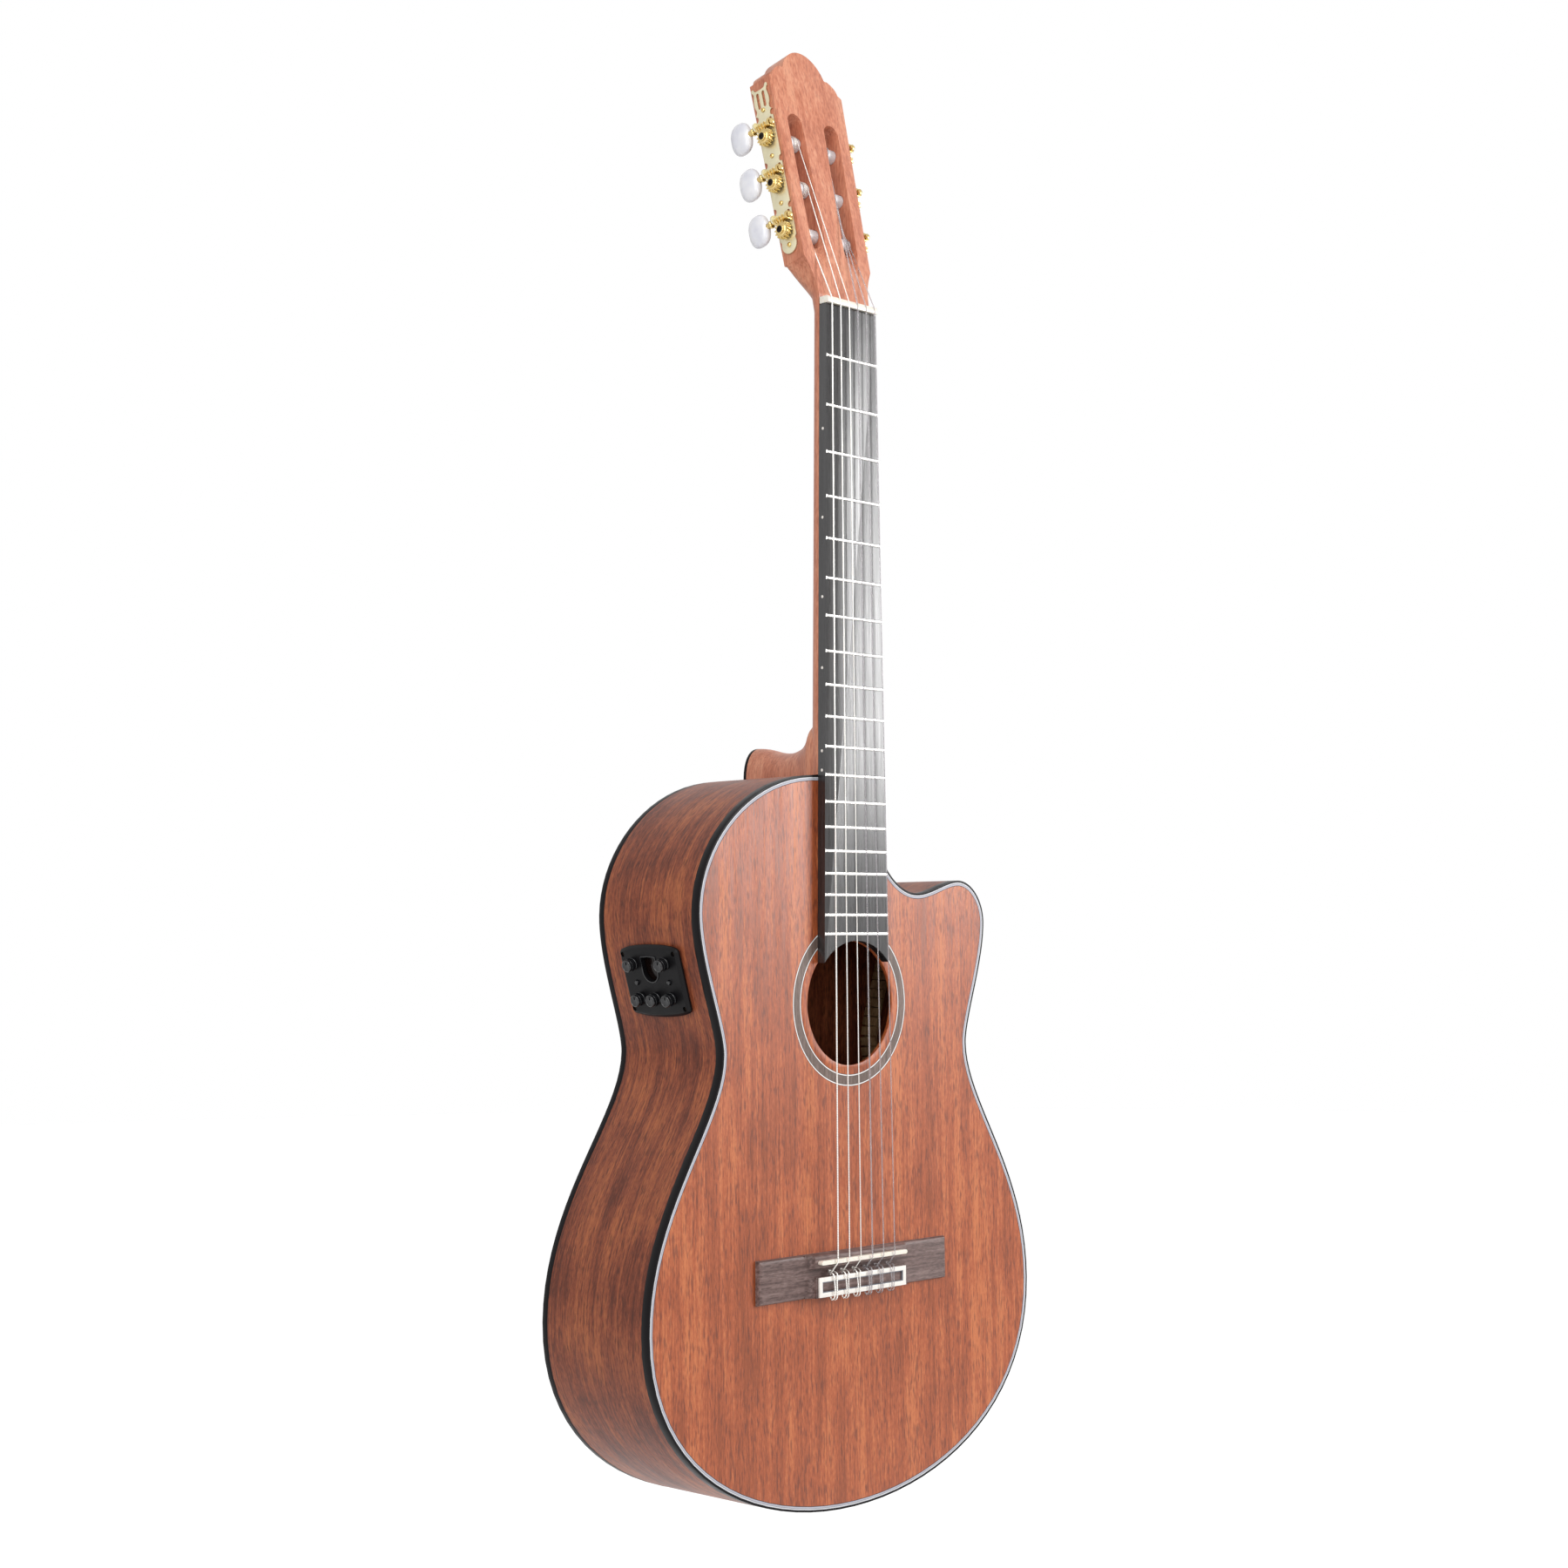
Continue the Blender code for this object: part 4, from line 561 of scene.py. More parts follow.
def make_finishes():
    """Each finish with the slot that its pieces usually have."""
    return {
        # Sapele veneer under thin satin lacquer: orange-brown with short dark pores that run up the body.
        "top": (wood("satin_sapele_top", "#8a421f", "#a5522c", "#be6c3f", "#5a2818", roughness=0.36,
                     gloss=0.42), "mahogany_top"),
        # The bent sides are darker and carry a ribbon figure that follows the bend.
        "sides": (wood("satin_sapele_sides", "#5a2817", "#84442d", "#a9613d", "#3a1a10", on_run=True,
                       figure=1.1, stripe=7, roughness=0.42, gloss=0.3), "mahogany_sides"),
        "back": (wood("satin_sapele_back", "#5a2817", "#84442d", "#a65e3c", "#3a1a10", figure=0.8,
                      gloss=0.3), "mahogany_sides"),
        # Neck wood: paler and plainer, with finer pores.
        "neck": (wood("satin_mahogany_neck", "#b26b50", "#c77f63", "#d69577", "#86493a", figure=0.5,
                      pore_share=0.35), "mahogany_neck"),
        # Lining strips: plain pale softwood, sawn and left dull.
        "lining": (wood("sawn_basswood", "#96714c", "#ad8a61", "#c2a178", "#7d5f3f", roughness=0.7,
                        pore_share=0.15, gloss=0.2), "spruce_inside"),
        # Fretboard: blackened hardwood, oiled, with grey pores.
        "ebony": (wood("oiled_black_hardwood", "#161415", "#1d1b1c", "#262425", "#333031", roughness=0.28,
                       stripe=5, pore_share=0.35, gloss=0.85), "ebony"),
        # Bridge: grey-brown rosewood with darker streaks from side to side.
        "rosewood": (wood("oiled_rosewood", "#503d39", "#6c5753", "#816c67", "#3a2a28", along=0, stripe=3.2,
                          roughness=0.45, pore_share=0.5), "rosewood"),
        # Rosette: a band of grey-brown dyed veneer between white lines and dark hairlines.
        "band": (wood("dyed_rosette_veneer", "#564740", "#68574f", "#7a6860", "#43362f", stripe=2.5,
                      pore_share=0.35, gloss=0.3), "grey_band"),
        # Edge binding: black celluloid, scraped and polished. The purfling lines beside it are sanded fibre.
        "binding": (moulded("polished_black_celluloid", "#131113", 0.35, gloss=0.1), "black_binding"),
        "purfling_white": (moulded("sanded_white_fibre", "#cdcdd1", 0.5, gloss=0.3), "white_inlay"),
        "purfling_lilac": (moulded("sanded_lilac_fibre", "#b3b2bd", 0.5, gloss=0.3), "white_inlay"),
        "purfling_grey": (moulded("sanded_grey_fibre", "#777980", 0.5, gloss=0.3), "white_inlay"),
        "purfling_dark": (moulded("sanded_black_fibre", "#2a2423", 0.5, gloss=0.2), "white_inlay"),
        "ring_white": (moulded("sanded_ivory_fibre", "#efecea", 0.45), "grey_band"),
        # Nut and saddle: bone, polished until it shines softly.
        "bone": (moulded("polished_bone", "#efe7da", 0.3, grit=1.2, IOR=1.55, Subsurface_Weight=0.1,
                         Subsurface_Scale=0.001), "bone"),
        "inlay": (moulded("polished_ivory_plastic", "#efe9e2", 0.3), "white_inlay"),
        "frets": (moulded("rolled_nickel_silver", "#e6e4e1", 0.24, metallic=1.0), "wound_silver"),
        # Side plates: pale gold wash over brass, brushed matte. Gears, shafts and screws: bright gold plate.
        "plate": (moulded("satin_pale_gold_plate", "#d8d0b2", 0.45, metallic=1.0), "pale_gold"),
        "gold": (moulded("bright_gold_plate", "#d2b87c", 0.24, metallic=1.0, spread=0.1), "gold"),
        "steel": (moulded("blackened_steel", "#2b2522", 0.45, metallic=1.0), "gold"),
        "nylon": (moulded("white_nylon", "#e4e3e6", 0.4, IOR=1.53), "nylon_white"),
        "pearl": (pearl_plastic("cast_pearl_plastic"), "pearl_white"),
        "wound": (wound_wire("silvered_wound_wire", "#faf7f2", 0.9), "wound_silver"),
        "treble": (moulded("drawn_clear_nylon", "#d3cfd2", 0.2, IOR=1.53, Transmission_Weight=0.75),
                   "clear_nylon"),
        # Preamp: black plastic with a fine moulded grain, smoother on the knobs, behind a smoked window.
        "panel": (moulded("grained_black_plastic", "#0d0c0e", 0.42, depth=0.05, gloss=0.15), "black_plastic"),
        "knob": (moulded("smooth_black_plastic", "#161619", 0.2), "black_plastic"),
        "lens": (moulded("smoked_acrylic", "#140b09", 0.12, IOR=1.49, gloss=0.2), "display"),
        "battery": (moulded("lacquered_steel_can", "#4c4f55", 0.35, metallic=0.6), "black_plastic"),
    }


# Body

def body_edge():
    """The outline as (x, z), from the bass side of the neck round the tail to the cutaway."""
    knots = [
        ((-28.5, 496), (0, 0), (-67, 0)),
        ((-144, 401.5), (0, 47), (0, -31)),
        ((-122.5, 309.5), (0, 18), (0, -43)),
        ((-189.5, 135.5), (0, 80), (0, -89)),
        ((0, 0), (-98, 0), (98, 0)),
        ((189.5, 135.5), (0, -89), (0, 80)),
        ((122.5, 309.5), (0, -43), (0, 18)),
        ((144, 396), (0, -28), (0, 16)),
        ((116, 426), (15, 0), (-14, 0)),
        ((70.6, 416.4), (16, 0), (-22, 0)),
        ((28.5, 461), (0, -22), (0, 0)),
    ]
    points = []
    for (start, _, out), (end, into, _) in zip(knots, knots[1:]):
        points += bend(start, out, into, end, 20)
    return points + [(28.5, 461), (28.5, 496)]


def make_body():
    edge = body_edge()
    hole = (0, HOLE_Z)
    inlay_width = 4.0
    top = board([moved_in(edge, inlay_width), circle(hole, ROSETTE_OUTER)], -TOP_THICKNESS, 0)
    inner = board([circle(hole, ROSETTE_INNER), circle(hole, HOLE_RADIUS)], -TOP_THICKNESS, 0)
    soften(inner, 0.3)
    dressed(placed(joined(top, inner), FRONT), "soundboard_top", "top", stands_for="soundboard")
    lines = ((1.5, 2.3, "white"), (2.3, 2.6, "grey"), (2.6, 3.6, "lilac"), (3.6, inlay_width, "dark"))
    for outer, inner, name in lines:
        strip = board(edge_ring(edge, outer, inner), -1.5, 0)
        dressed(placed(strip, FRONT), f"purfling_{name}", f"purfling_{name}")
    radii = (ROSETTE_INNER, 49.0, 49.7, 49.95, 55.55, 55.8, 56.5, ROSETTE_OUTER)
    rings = ("dark_1", "white_1", "dark_2", "band", "dark_3", "white_2", "dark_4")
    finishes = {"d": "purfling_dark", "w": "ring_white", "b": "band"}
    for low, high, name in zip(radii, radii[1:], rings):
        ring = board([circle(hole, high), circle(hole, low)], -1.2, 0)
        dressed(placed(ring, FRONT), f"rosette_{name}", finishes[name[0]],
                stands_for="rosette" if name == "band" else None)
    ends = (("front", FRONT, -FRONT_BINDING_HEIGHT, 0), ("back", BACK, 0, BACK_BINDING_HEIGHT))
    for end, place, low, high in ends:
        binding = soften(board(edge_ring(edge, 0, BINDING_WIDTH), low, high), 0.35)
        dressed(placed(binding, place), f"{end}_edge_binding", "binding", stands_for=f"{end}_binding")
    back = board([moved_in(edge, BINDING_WIDTH)], 0, BACK_THICKNESS)
    dressed(placed(back, BACK), "back_board", "back", stands_for="back_plate")
    make_sides(edge)
    wall = SIDE_THICKNESS + 0.4
    front = kerfed_strip(edge, -TOP_THICKNESS - 0.3, -LINING_HEIGHT, wall)
    dressed(placed(front, FRONT), "front_kerfed_lining", "lining", stands_for="front_lining")
    back = kerfed_strip(edge, BACK_THICKNESS + 0.3, LINING_HEIGHT, wall + 0.6)
    dressed(placed(back, BACK), "back_kerfed_lining", "lining", stands_for="back_lining")


def make_sides(edge):
    sides = board(edge_ring(edge, 0, SIDE_THICKNESS), -DEPTH_AT_TAIL - 5, -FRONT_BINDING_HEIGHT)
    placed(sides, FRONT)
    sliced(sides, BACK @ at(0, 0, BACK_BINDING_HEIGHT), BACK.to_3x3() @ Vector((0, 0, -1)))
    x, y = PREAMP_OPENING
    opening = placed(block((-x, -y, -12), (x, y, 12)), preamp_place())
    jack_way = placed(turned([(5, -8), (5, 20)], 24), JACK)
    cut(sides, opening, jack_way)
    follow(sides, edge)
    dressed(sides, "bent_sides", "sides", stands_for="sides")


def kerfed_strip(edge, low, height, inset):
    """A lining strip sawn nearly through at even steps, which lets it bend round the inside of the body.

    It tapers away from the plate at local z = low. A negative height runs the taper downwards.
    """
    wall = moved_in(edge, inset)
    spine = board([wall, moved_in(wall, 0.8)], min(low, low + height), max(low, low + height))
    side = [(0.7, 0), (LINING_DEPTH, 0), (LINING_DEPTH, 0.35), (2.4, 1), (0.7, 1)]
    tooth = board([[(depth, rise * height) for depth, rise in side]], -3.1, 3.1)
    # The tooth is drawn in profile: local x reaches into the body and local y runs along its depth.
    soften(placed(tooth, spin(90, "X")), 0.3, 1)
    places = []
    reached = 0.0
    for (ax, ay), (bx, by) in zip(wall, wall[1:] + wall[:1]):
        length = math.dist((ax, ay), (bx, by))
        inwards = math.atan2(bx - ax, ay - by)
        while reached < length:
            share = reached / length
            spot = shift(ax + (bx - ax) * share, ay + (by - ay) * share, low)
            places.append(spot @ Matrix.Rotation(inwards, 4, "Z"))
            reached += KERF_SPACING
        reached -= length
    return joined(spine, repeated(tooth, places))


# Neck and headstock

def board_half(z):
    return BOARD_HALF_AT_NUT + (NUT_Z - z) * BOARD_WIDENING


def head_half(s):
    return HEAD_HALF_AT_SHOULDER + (s - HEAD_SHOULDER) * HEAD_WIDENING


def half_round(origin, back, half, depth, squareness, proud=3):
    """A neck section: flat in front, where it stands proud for later sawing, and rounded behind."""
    oval = [(across * half, away * depth) for across, away in half_oval(squareness)]
    return [origin + at(x, 0, 0) + back * (y * MM) for x, y in [(-half, -proud)] + oval + [(half, -proud)]]


def neck_form():
    head_back = HEAD.to_3x3() @ Vector((0, 0, -1))
    # Each row gives the place up the head, half the width, the depth and how square the section is.
    shoulder = [(29.2, 33.85, 19.5, 22), (25.5, 31.7, 19.5, 12), (21, 29.6, 19.4, 7), (16, 27.8, 18.8, 4.6),
                (10, 26.4, 17.3, 3.2), (4, 25.6, 15.7, 2.5)]
    rows = []
    for s, *shape in [(33, 33.9, 19.5, 22)] + eased(shoulder, 5):
        rows.append(half_round(HEAD @ at(0, s, 0), head_back, *shape))
    high = NUT_Z - 4
    low = BODY_LENGTH - 3
    for i in range(15):
        z = high + (low - high) * i / 14
        rows.append(half_round(at(0, FRONT_Y, z), Vector((0, 1, 0)), board_half(z), 14.2 + 2.4 * i / 14, 2.2))
    return skinned(rows)


def heel_arch(half, rise, roundness):
    """The heel seen from behind the body, as (x, z)."""
    return [(across * half, BODY_LENGTH + BOARD_GAP + up * rise) for across, up in half_oval(roundness)]


def heel_form():
    # Each row gives the depth behind the front, half the width, the rise and how square the arch is.
    rows = [(-3, 29.5, 36, 6), (0, 29.5, 36, 6), (12, 28.5, 36, 5), (15.5, 27.5, 33.5, 4), (20, 26, 29, 3.2),
            (29, 23.5, 23.0, 2.7), (44, 20.5, 19.0, 2.5), (60, 18, 19.5, 2.4), (75, 16.3, 23, 2.3),
            (HEEL_DEPTH, 15.5, 24, 2.3), (88, 15.3, 24.3, 2.3)]
    bottom = BODY_LENGTH + BOARD_GAP - 3
    arches = []
    for depth, half, rise, roundness in eased(rows, 3):
        arch = [(-half, bottom)] + heel_arch(half, rise, roundness) + [(half, bottom)]
        arches.append([at(x, FRONT_Y + depth, z) for x, z in arch])
    return skinned(arches)


def head_edge():
    """The headstock from its shoulders over the stepped crown, as (x, s)."""
    right = [(head_half(HEAD_SHOULDER), HEAD_SHOULDER), (head_half(HEAD_CORNER), HEAD_CORNER), (35.3, 166.7),
             (33.6, 167.4)]
    right += bend((33.2, 168.4), (-0.6, 3.2), (3.4, -0.8), (23.8, 175.9), 10)
    right += [(23.8, 175.9), (21.6, 175.7)]
    right += bend((20.9, 176.6), (-2.6, 7.2), (10.5, 0), (0, HEAD_PEAK), 18)
    return right + [(0, HEAD_PEAK)] + mirrored(right)


def head_lean(side):
    """The turn that lays a line along one side edge of the headstock, which widens upwards."""
    return Matrix.Rotation(-side * math.atan(HEAD_WIDENING), 4, "Z")


def tuner_place(side, index):
    """On the axis of one roller: origin on the side face, local x across the head, local y up the head."""
    s = LOWEST_TUNER + index * TUNER_SPACING
    return HEAD @ shift(side * head_half(s), s, -TUNER_DEPTH) @ head_lean(side)


def side_face(side, index):
    """The same place with local z out of the side face."""
    return tuner_place(side, index) @ spin(90 * side, "Y")


def make_neck():
    neck = joined(neck_form(), heel_form())
    apply_to(neck, "REMESH", mode="VOXEL", voxel_size=1.0 * MM)
    apply_to(neck, "SMOOTH", factor=0.5, iterations=5)
    up_head = HEAD.to_3x3()
    sliced(neck, at(0, FRONT_Y, 0), (0, -1, 0))
    sliced(neck, HEAD.translation, up_head @ Vector((0, 0, 1)))
    sliced(neck, at(0, 0, BODY_LENGTH + BOARD_GAP), (0, 0, -1))
    sliced(neck, at(0, FRONT_Y + HEEL_DEPTH, 0), (0, 1, 0))
    sliced(neck, HEAD @ at(0, 30.5, 0), up_head @ Vector((0, 1, 0)))
    head = soften(board([head_edge()], -HEAD_THICKNESS, 0), 0.7, 3, 50)
    cut(neck, placed(head, HEAD), operation="UNION")
    for side in (-1, 1):
        place = HEAD @ shift(side * SLOT_X, SLOT_TOP, 0) @ head_lean(side)
        through = placed(board([capsule(0, SLOT_FOOT - SLOT_TOP, 0, SLOT_WIDTH)], -40, 10), place)
        # The ramp is a round-bottomed groove that rises to the face below the lowest roller.
        r = SLOT_WIDTH / 2 - 0.15
        slope = math.radians(RAMP_SLOPE)
        lift = shift(0, RAMP_TIP - SLOT_TOP + r * math.sin(slope), r * math.cos(slope))
        ramp = placed(turned([(r, -30), (r, 26)], 48), place @ lift @ spin(-90 - RAMP_SLOPE, "X"))
        cut(neck, through, ramp)
        for index in range(3):
            depth = head_half(LOWEST_TUNER + index * TUNER_SPACING) - 3
            cut(neck, placed(turned([(5.3, -depth), (5.3, 10)]), side_face(side, index)))
    dressed(neck, "neck_and_head", "neck", stands_for="neck", smooth=32)
    cap = soften(board([heel_arch(15.5, 24, 2.3)], 0, 2.5), 0.5)
    dressed(placed(cap, shift(0, FRONT_Y + HEEL_DEPTH + 2.8, 0) @ spin(90, "X")), "heel_end_cap", "binding",
            stands_for="heel_cap")


def fret_z(number):
    return NUT_Z - SCALE_LENGTH * (1 - 2 ** (-number / 12))


def make_fretboard():
    half = board_half(HOLE_Z + 28)
    tip = math.degrees(math.atan2(math.sqrt(HOLE_RADIUS**2 - half**2), half))
    edge = [(BOARD_HALF_AT_NUT, NUT_Z - BOARD_GAP), (-BOARD_HALF_AT_NUT, NUT_Z - BOARD_GAP)]
    edge += arc((0, HOLE_Z), HOLE_RADIUS, 180 - tip, tip, 32)
    wood_board = soften(board([edge], 0, BOARD_GAP + BOARD_THICKNESS), 0.5, 3)
    dressed(placed(wood_board, FRONT), "fretboard_wood", "ebony", stands_for="fretboard")
    make_frets()
    # Dots lie in the side of the board between two frets, and two of them at the octave.
    for number, *places in ((3, ("", 0)), (5, ("", 0)), (7, ("", 0)), (9, ("", 0)),
                            (12, ("_low", -6.6), ("_high", 6.6))):
        for end, step in places:
            z = (fret_z(number) + fret_z(number - 1)) / 2 + step
            dot = turned([(1.0, -1), (1.0, 0.02), (0.9, 0.06)], 16)
            place = shift(-board_half(z), FRONT_Y - 3.6, z) @ spin(-90, "Y")
            dressed(placed(dot, place), f"side_dot_{number}{end}", "inlay")


def make_frets():
    """Rounded nickel-silver bars with bevelled ends, one modelled and the rest copied."""
    crown = 1.1 * MM
    foot = 0.3 * MM
    bpy.ops.mesh.primitive_cylinder_add(vertices=20, radius=crown, depth=1, rotation=(0, math.pi / 2, 0))
    bar = placed(bpy.context.object)
    open_mesh(bar)
    mesh = bmesh.from_edit_mesh(bar.data)
    for vertex in mesh.verts:
        if vertex.co.z > foot:
            vertex.co.x *= 1 - 0.022 * vertex.co.z / crown
    bmesh.update_edit_mesh(bar.data)
    bpy.ops.mesh.bisect(plane_co=(0, 0, -foot), plane_no=(0, 0, -1), clear_outer=True, use_fill=True)
    close_mesh()
    for number in range(1, 20):
        z = fret_z(number)
        length = 2 * (board_half(z) - 0.15) * MM
        place = shift(0, FRONT_Y - BOARD_GAP - BOARD_THICKNESS, z) @ spin(90, "X")
        fret = copied(bar, place @ Matrix.Diagonal((length, 1, 0.9, 1)))
        dressed(fret, f"fret_{number}", "frets", smooth=40)
    scrap(bar)


def string_x(number, spread):
    return spread * (0.5 - (number - 1) / 5)


def make_nut():
    side = [(0.3, 0), (0.3, 4.9), (7.4, 4.9), (8.5, 3.2), (9.0, 1.6), (8.8, 0)]
    shape = board([[(a, h) for h, a in side]], -NUT_HALF, NUT_HALF)
    # Drawn in profile: local x runs up the neck and local y out of the front.
    place = shift(0, FRONT_Y, NUT_Z) @ Matrix(((0, 0, 1, 0), (0, -1, 0, 0), (1, 0, 0, 0), (0, 0, 0, 1)))
    nut = cleaned(placed(soften(shape, 0.35), place))
    for number, radius in enumerate(STRING_RADII, 1):
        slot = turned([(radius + 0.12, -5), (radius + 0.12, 12)], 12)
        place = shift(string_x(number, STRINGS_AT_NUT), FRONT_Y - STRING_HEIGHT_AT_NUT, NUT_Z) @ spin(-8, "X")
        cut(nut, placed(slot, place))
    dressed(nut, "bone_nut", "bone", stands_for="nut")


# Bridge and strings

def make_bridge():
    bridge = block((-BRIDGE_HALF, BRIDGE_LOW_Z, 0), (BRIDGE_HALF, BRIDGE_TOP_Z, WING_HEIGHT))
    open_mesh(bridge)
    mesh = bmesh.from_edit_mesh(bridge.data)
    upper = 3 * MM
    for edge in mesh.edges:
        edge.select = all(v.co.z > upper for v in edge.verts)
    for vertex in mesh.verts:
        vertex.select = vertex.co.z > upper
    bmesh.update_edit_mesh(bridge.data)
    bpy.ops.mesh.bevel(offset=2.8 * MM, segments=2, profile=0.5, affect="EDGES")
    close_mesh()
    trough = SADDLE_Z - 3.6
    high = BRIDGE_TOP_Z - 0.4
    low = BRIDGE_LOW_Z + 0.6
    side = [(high, 1), (high, 5.8), (high - 0.2, 7.0), (high - 0.9, 8.0), (high - 2.2, 8.6), (trough, 8.6),
            (trough - 0.4, 5.2), (trough - 1.0, 4.0), (trough - 1.8, 3.6), (TIE_BLOCK_Z, 3.6),
            (TIE_BLOCK_Z, TIE_BLOCK_HEIGHT), (low, TIE_BLOCK_HEIGHT), (low, 1)]
    centre = placed(board([side], -51, 51), PROFILE)
    for end in (-1, 1):
        # A cove leads up from each wing to the centre block.
        cove = turned([(6, 100), (6, 200)], 40)
        cut(centre, placed(cove, shift(end * 51.6, 0, 9.6) @ spin(-90, "X")))
    soften(centre, 0.4, 2, 50)
    cut(bridge, centre, operation="UNION")
    across = shift(0, SADDLE_Z, 0) @ spin(90, "Z")
    cut(bridge, placed(board([capsule(0, -SADDLE_HALF - 0.2, SADDLE_HALF + 0.2, 3.1)], 2, 20), across))
    for number, radius in enumerate(STRING_RADII, 1):
        hole = turned([(radius + 0.2, -30), (radius + 0.2, 5)], 12)
        spot = shift(string_x(number, STRINGS_AT_BRIDGE), TIE_BLOCK_Z, TIE_HOLE_HEIGHT)
        cut(bridge, placed(hole, spot @ spin(-90, "X")))
    dressed(placed(bridge, FRONT), "bridge_wood", "rosewood", stands_for="bridge", smooth=30)
    saddle = soften(board([capsule(0, -SADDLE_HALF, SADDLE_HALF, 2.8)], 3.9, 12.1), 1.1, 4)
    dressed(placed(saddle, FRONT @ across), "bone_saddle", "bone", stands_for="saddle")
    x = 43.5
    low = BRIDGE_LOW_Z + 0.9
    high = TIE_BLOCK_Z - 0.3
    outer = [(-x, low), (x, low), (x, high), (-x, high)]
    border = board(edge_ring(outer, 0, 3.0), TIE_BLOCK_HEIGHT, TIE_BLOCK_HEIGHT + 1.4)
    dressed(placed(soften(border, 0.25), FRONT), "tie_block_border", "inlay", stands_for="tie_block_frame")
    line = board(edge_ring(outer, 3.0, 3.6), TIE_BLOCK_HEIGHT, TIE_BLOCK_HEIGHT + 1.1)
    dressed(placed(line, FRONT), "tie_block_line", "purfling_grey")


def wrap_points(side, index, radius, steps=16, turns=2.5):
    """The turns of a string round its roller."""
    place = tuner_place(side, index)
    axis_x = (HEAD.inverted() @ place.translation).x / MM
    # Where the string meets the roller, out from the middle of the head, and which way its turns run.
    arrival, outwards = ((21.6, -1), (12.4, 1), (14.3, 1))[index]
    start = side * arrival - axis_x
    reach = ROLLER_RADIUS + 0.15 + radius
    pitch = 2 * radius + 0.45
    points = []
    for step in range(round(turns * steps) + 1):
        turn = 2 * math.pi * step / steps
        across = start + side * outwards * pitch * step / steps
        points.append(place @ at(across, reach * math.sin(turn), reach * math.cos(turn)))
    return points


def knot_points(x, radius):
    """Through the tie block, back over it, round the string and under the loop again."""
    over = TIE_BLOCK_HEIGHT + 1.7 + radius
    low = BRIDGE_LOW_Z
    top = TIE_BLOCK_Z
    hole = TIE_HOLE_HEIGHT
    route = [
        (0, hole + 0.3, top + 1.2), (0, hole, top), (0, hole, low + 0.2), (0.4, hole + 0.4, low - 1.4),
        (0.9, hole + 2.4, low - 2.0), (1.1, over - 0.3, low - 0.6), (1.2, over, low + 1.0),
        (1.3, over, top - 3), (1.7, over, top - 0.6), (1.9, over - 0.8, top + 1.2),
        (1.9, hole + 0.3, top + 2.5), (0, hole - 1.0, top + 3.0), (-1.9, hole + 0.3, top + 2.5),
        (-1.9, over - 0.8, top + 1.2), (-1.7, over, top - 0.6), (-1.3, over, top - 3),
        (-1.2, over, low + 1.0), (-1.4, over - 0.9, low - 0.9), (-1.9, over - 2.2, low - 1.6),
    ]
    return [at(x + across, FRONT_Y - height, z) for across, height, z in route]


def make_strings():
    for number, radius in enumerate(STRING_RADII, 1):
        side = 1 if number <= 3 else -1
        index = min(number - 1, 6 - number)
        x = string_x(number, STRINGS_AT_BRIDGE)
        saddle = at(x, FRONT_Y - SADDLE_TOP - radius, SADDLE_Z)
        nut = at(string_x(number, STRINGS_AT_NUT), FRONT_Y - STRING_HEIGHT_AT_NUT, NUT_Z)
        knot = knot_points(x, radius)[::-1]
        middle = [saddle + at(0, 1.0, -1.6), saddle, nut, nut + at(0, 0.5, NUT_LENGTH - 0.6)]
        straight = range(len(knot) - 1, len(knot) + 5)
        string = wire(knot + middle + wrap_points(side, index, radius), radius, straight)
        dressed(string, f"tied_string_{number}", "treble" if number <= 3 else "wound",
                stands_for=f"string_{number}", smooth=60)


# Tuning machines

def plate_edge():
    """The side plate with a round foot, scalloped edges and a lyre at its upper end."""
    right = arc((0, 41.9), 6.9, 270, 360, 12) + [(6.4, 44.5), (7.75, 46.5)]
    for s in (68.5, 103.5, 138.5):
        # A half-round notch beside each machine leaves a tongue of wood bare.
        right += arc((7.9, s), 2.3, 270, 90, 10)
    right += [(7.0, 141.6), (5.9, 143.4), (6.0, 144.8)]
    right += bend((6.2, 145.5), (1.6, 2.4), (1.1, -3.8), (6.0, 156.2), 8)
    right += [(6.0, 156.2), (6.6, 158.0), (7.7, 159.2), (7.7, 160.5), (6.9, 161), (5.6, 160.7), (4.9, 159.2),
              (3.9, 158.4), (1.6, 158.2)]
    return right + [(0, 158.2)] + mirrored(right[1:])


def make_plate(side):
    """One side plate with its back ears, and apart from it the front ears of its three worm shafts."""
    middle = LOWEST_TUNER + TUNER_SPACING
    loops = [[(x, s - middle) for x, s in plate_edge()]]
    # The two tall slots of the lyre.
    loops += [capsule(x, 144.6 - middle, 156.6 - middle, 2.5, 8) for x in (-2.7, 2.7)]
    for index in range(3):
        axis = (index - 1) * TUNER_SPACING
        loops.append(circle((0, axis), 2.8, 24))
        # The hole beside the front ear, which was punched out of it.
        loops.append(circle((-side * 4.9, axis + WORM_DISTANCE + 4.5), 1.5, 16))
    made = soften(board(loops, BOARD_GAP, BOARD_GAP + PLATE_THICKNESS), 0.25, 2, 50)
    front, back = [[shaft_ear(end, index, *shape) for index in range(3)]
                   for end, shape in ((-side, (6.2, 0, 3.2)), (side, (7.2, 2.0, 2.8)))]
    place = side_face(side, 1)
    return placed(joined(made, *back), place), placed(joined(*front), place)


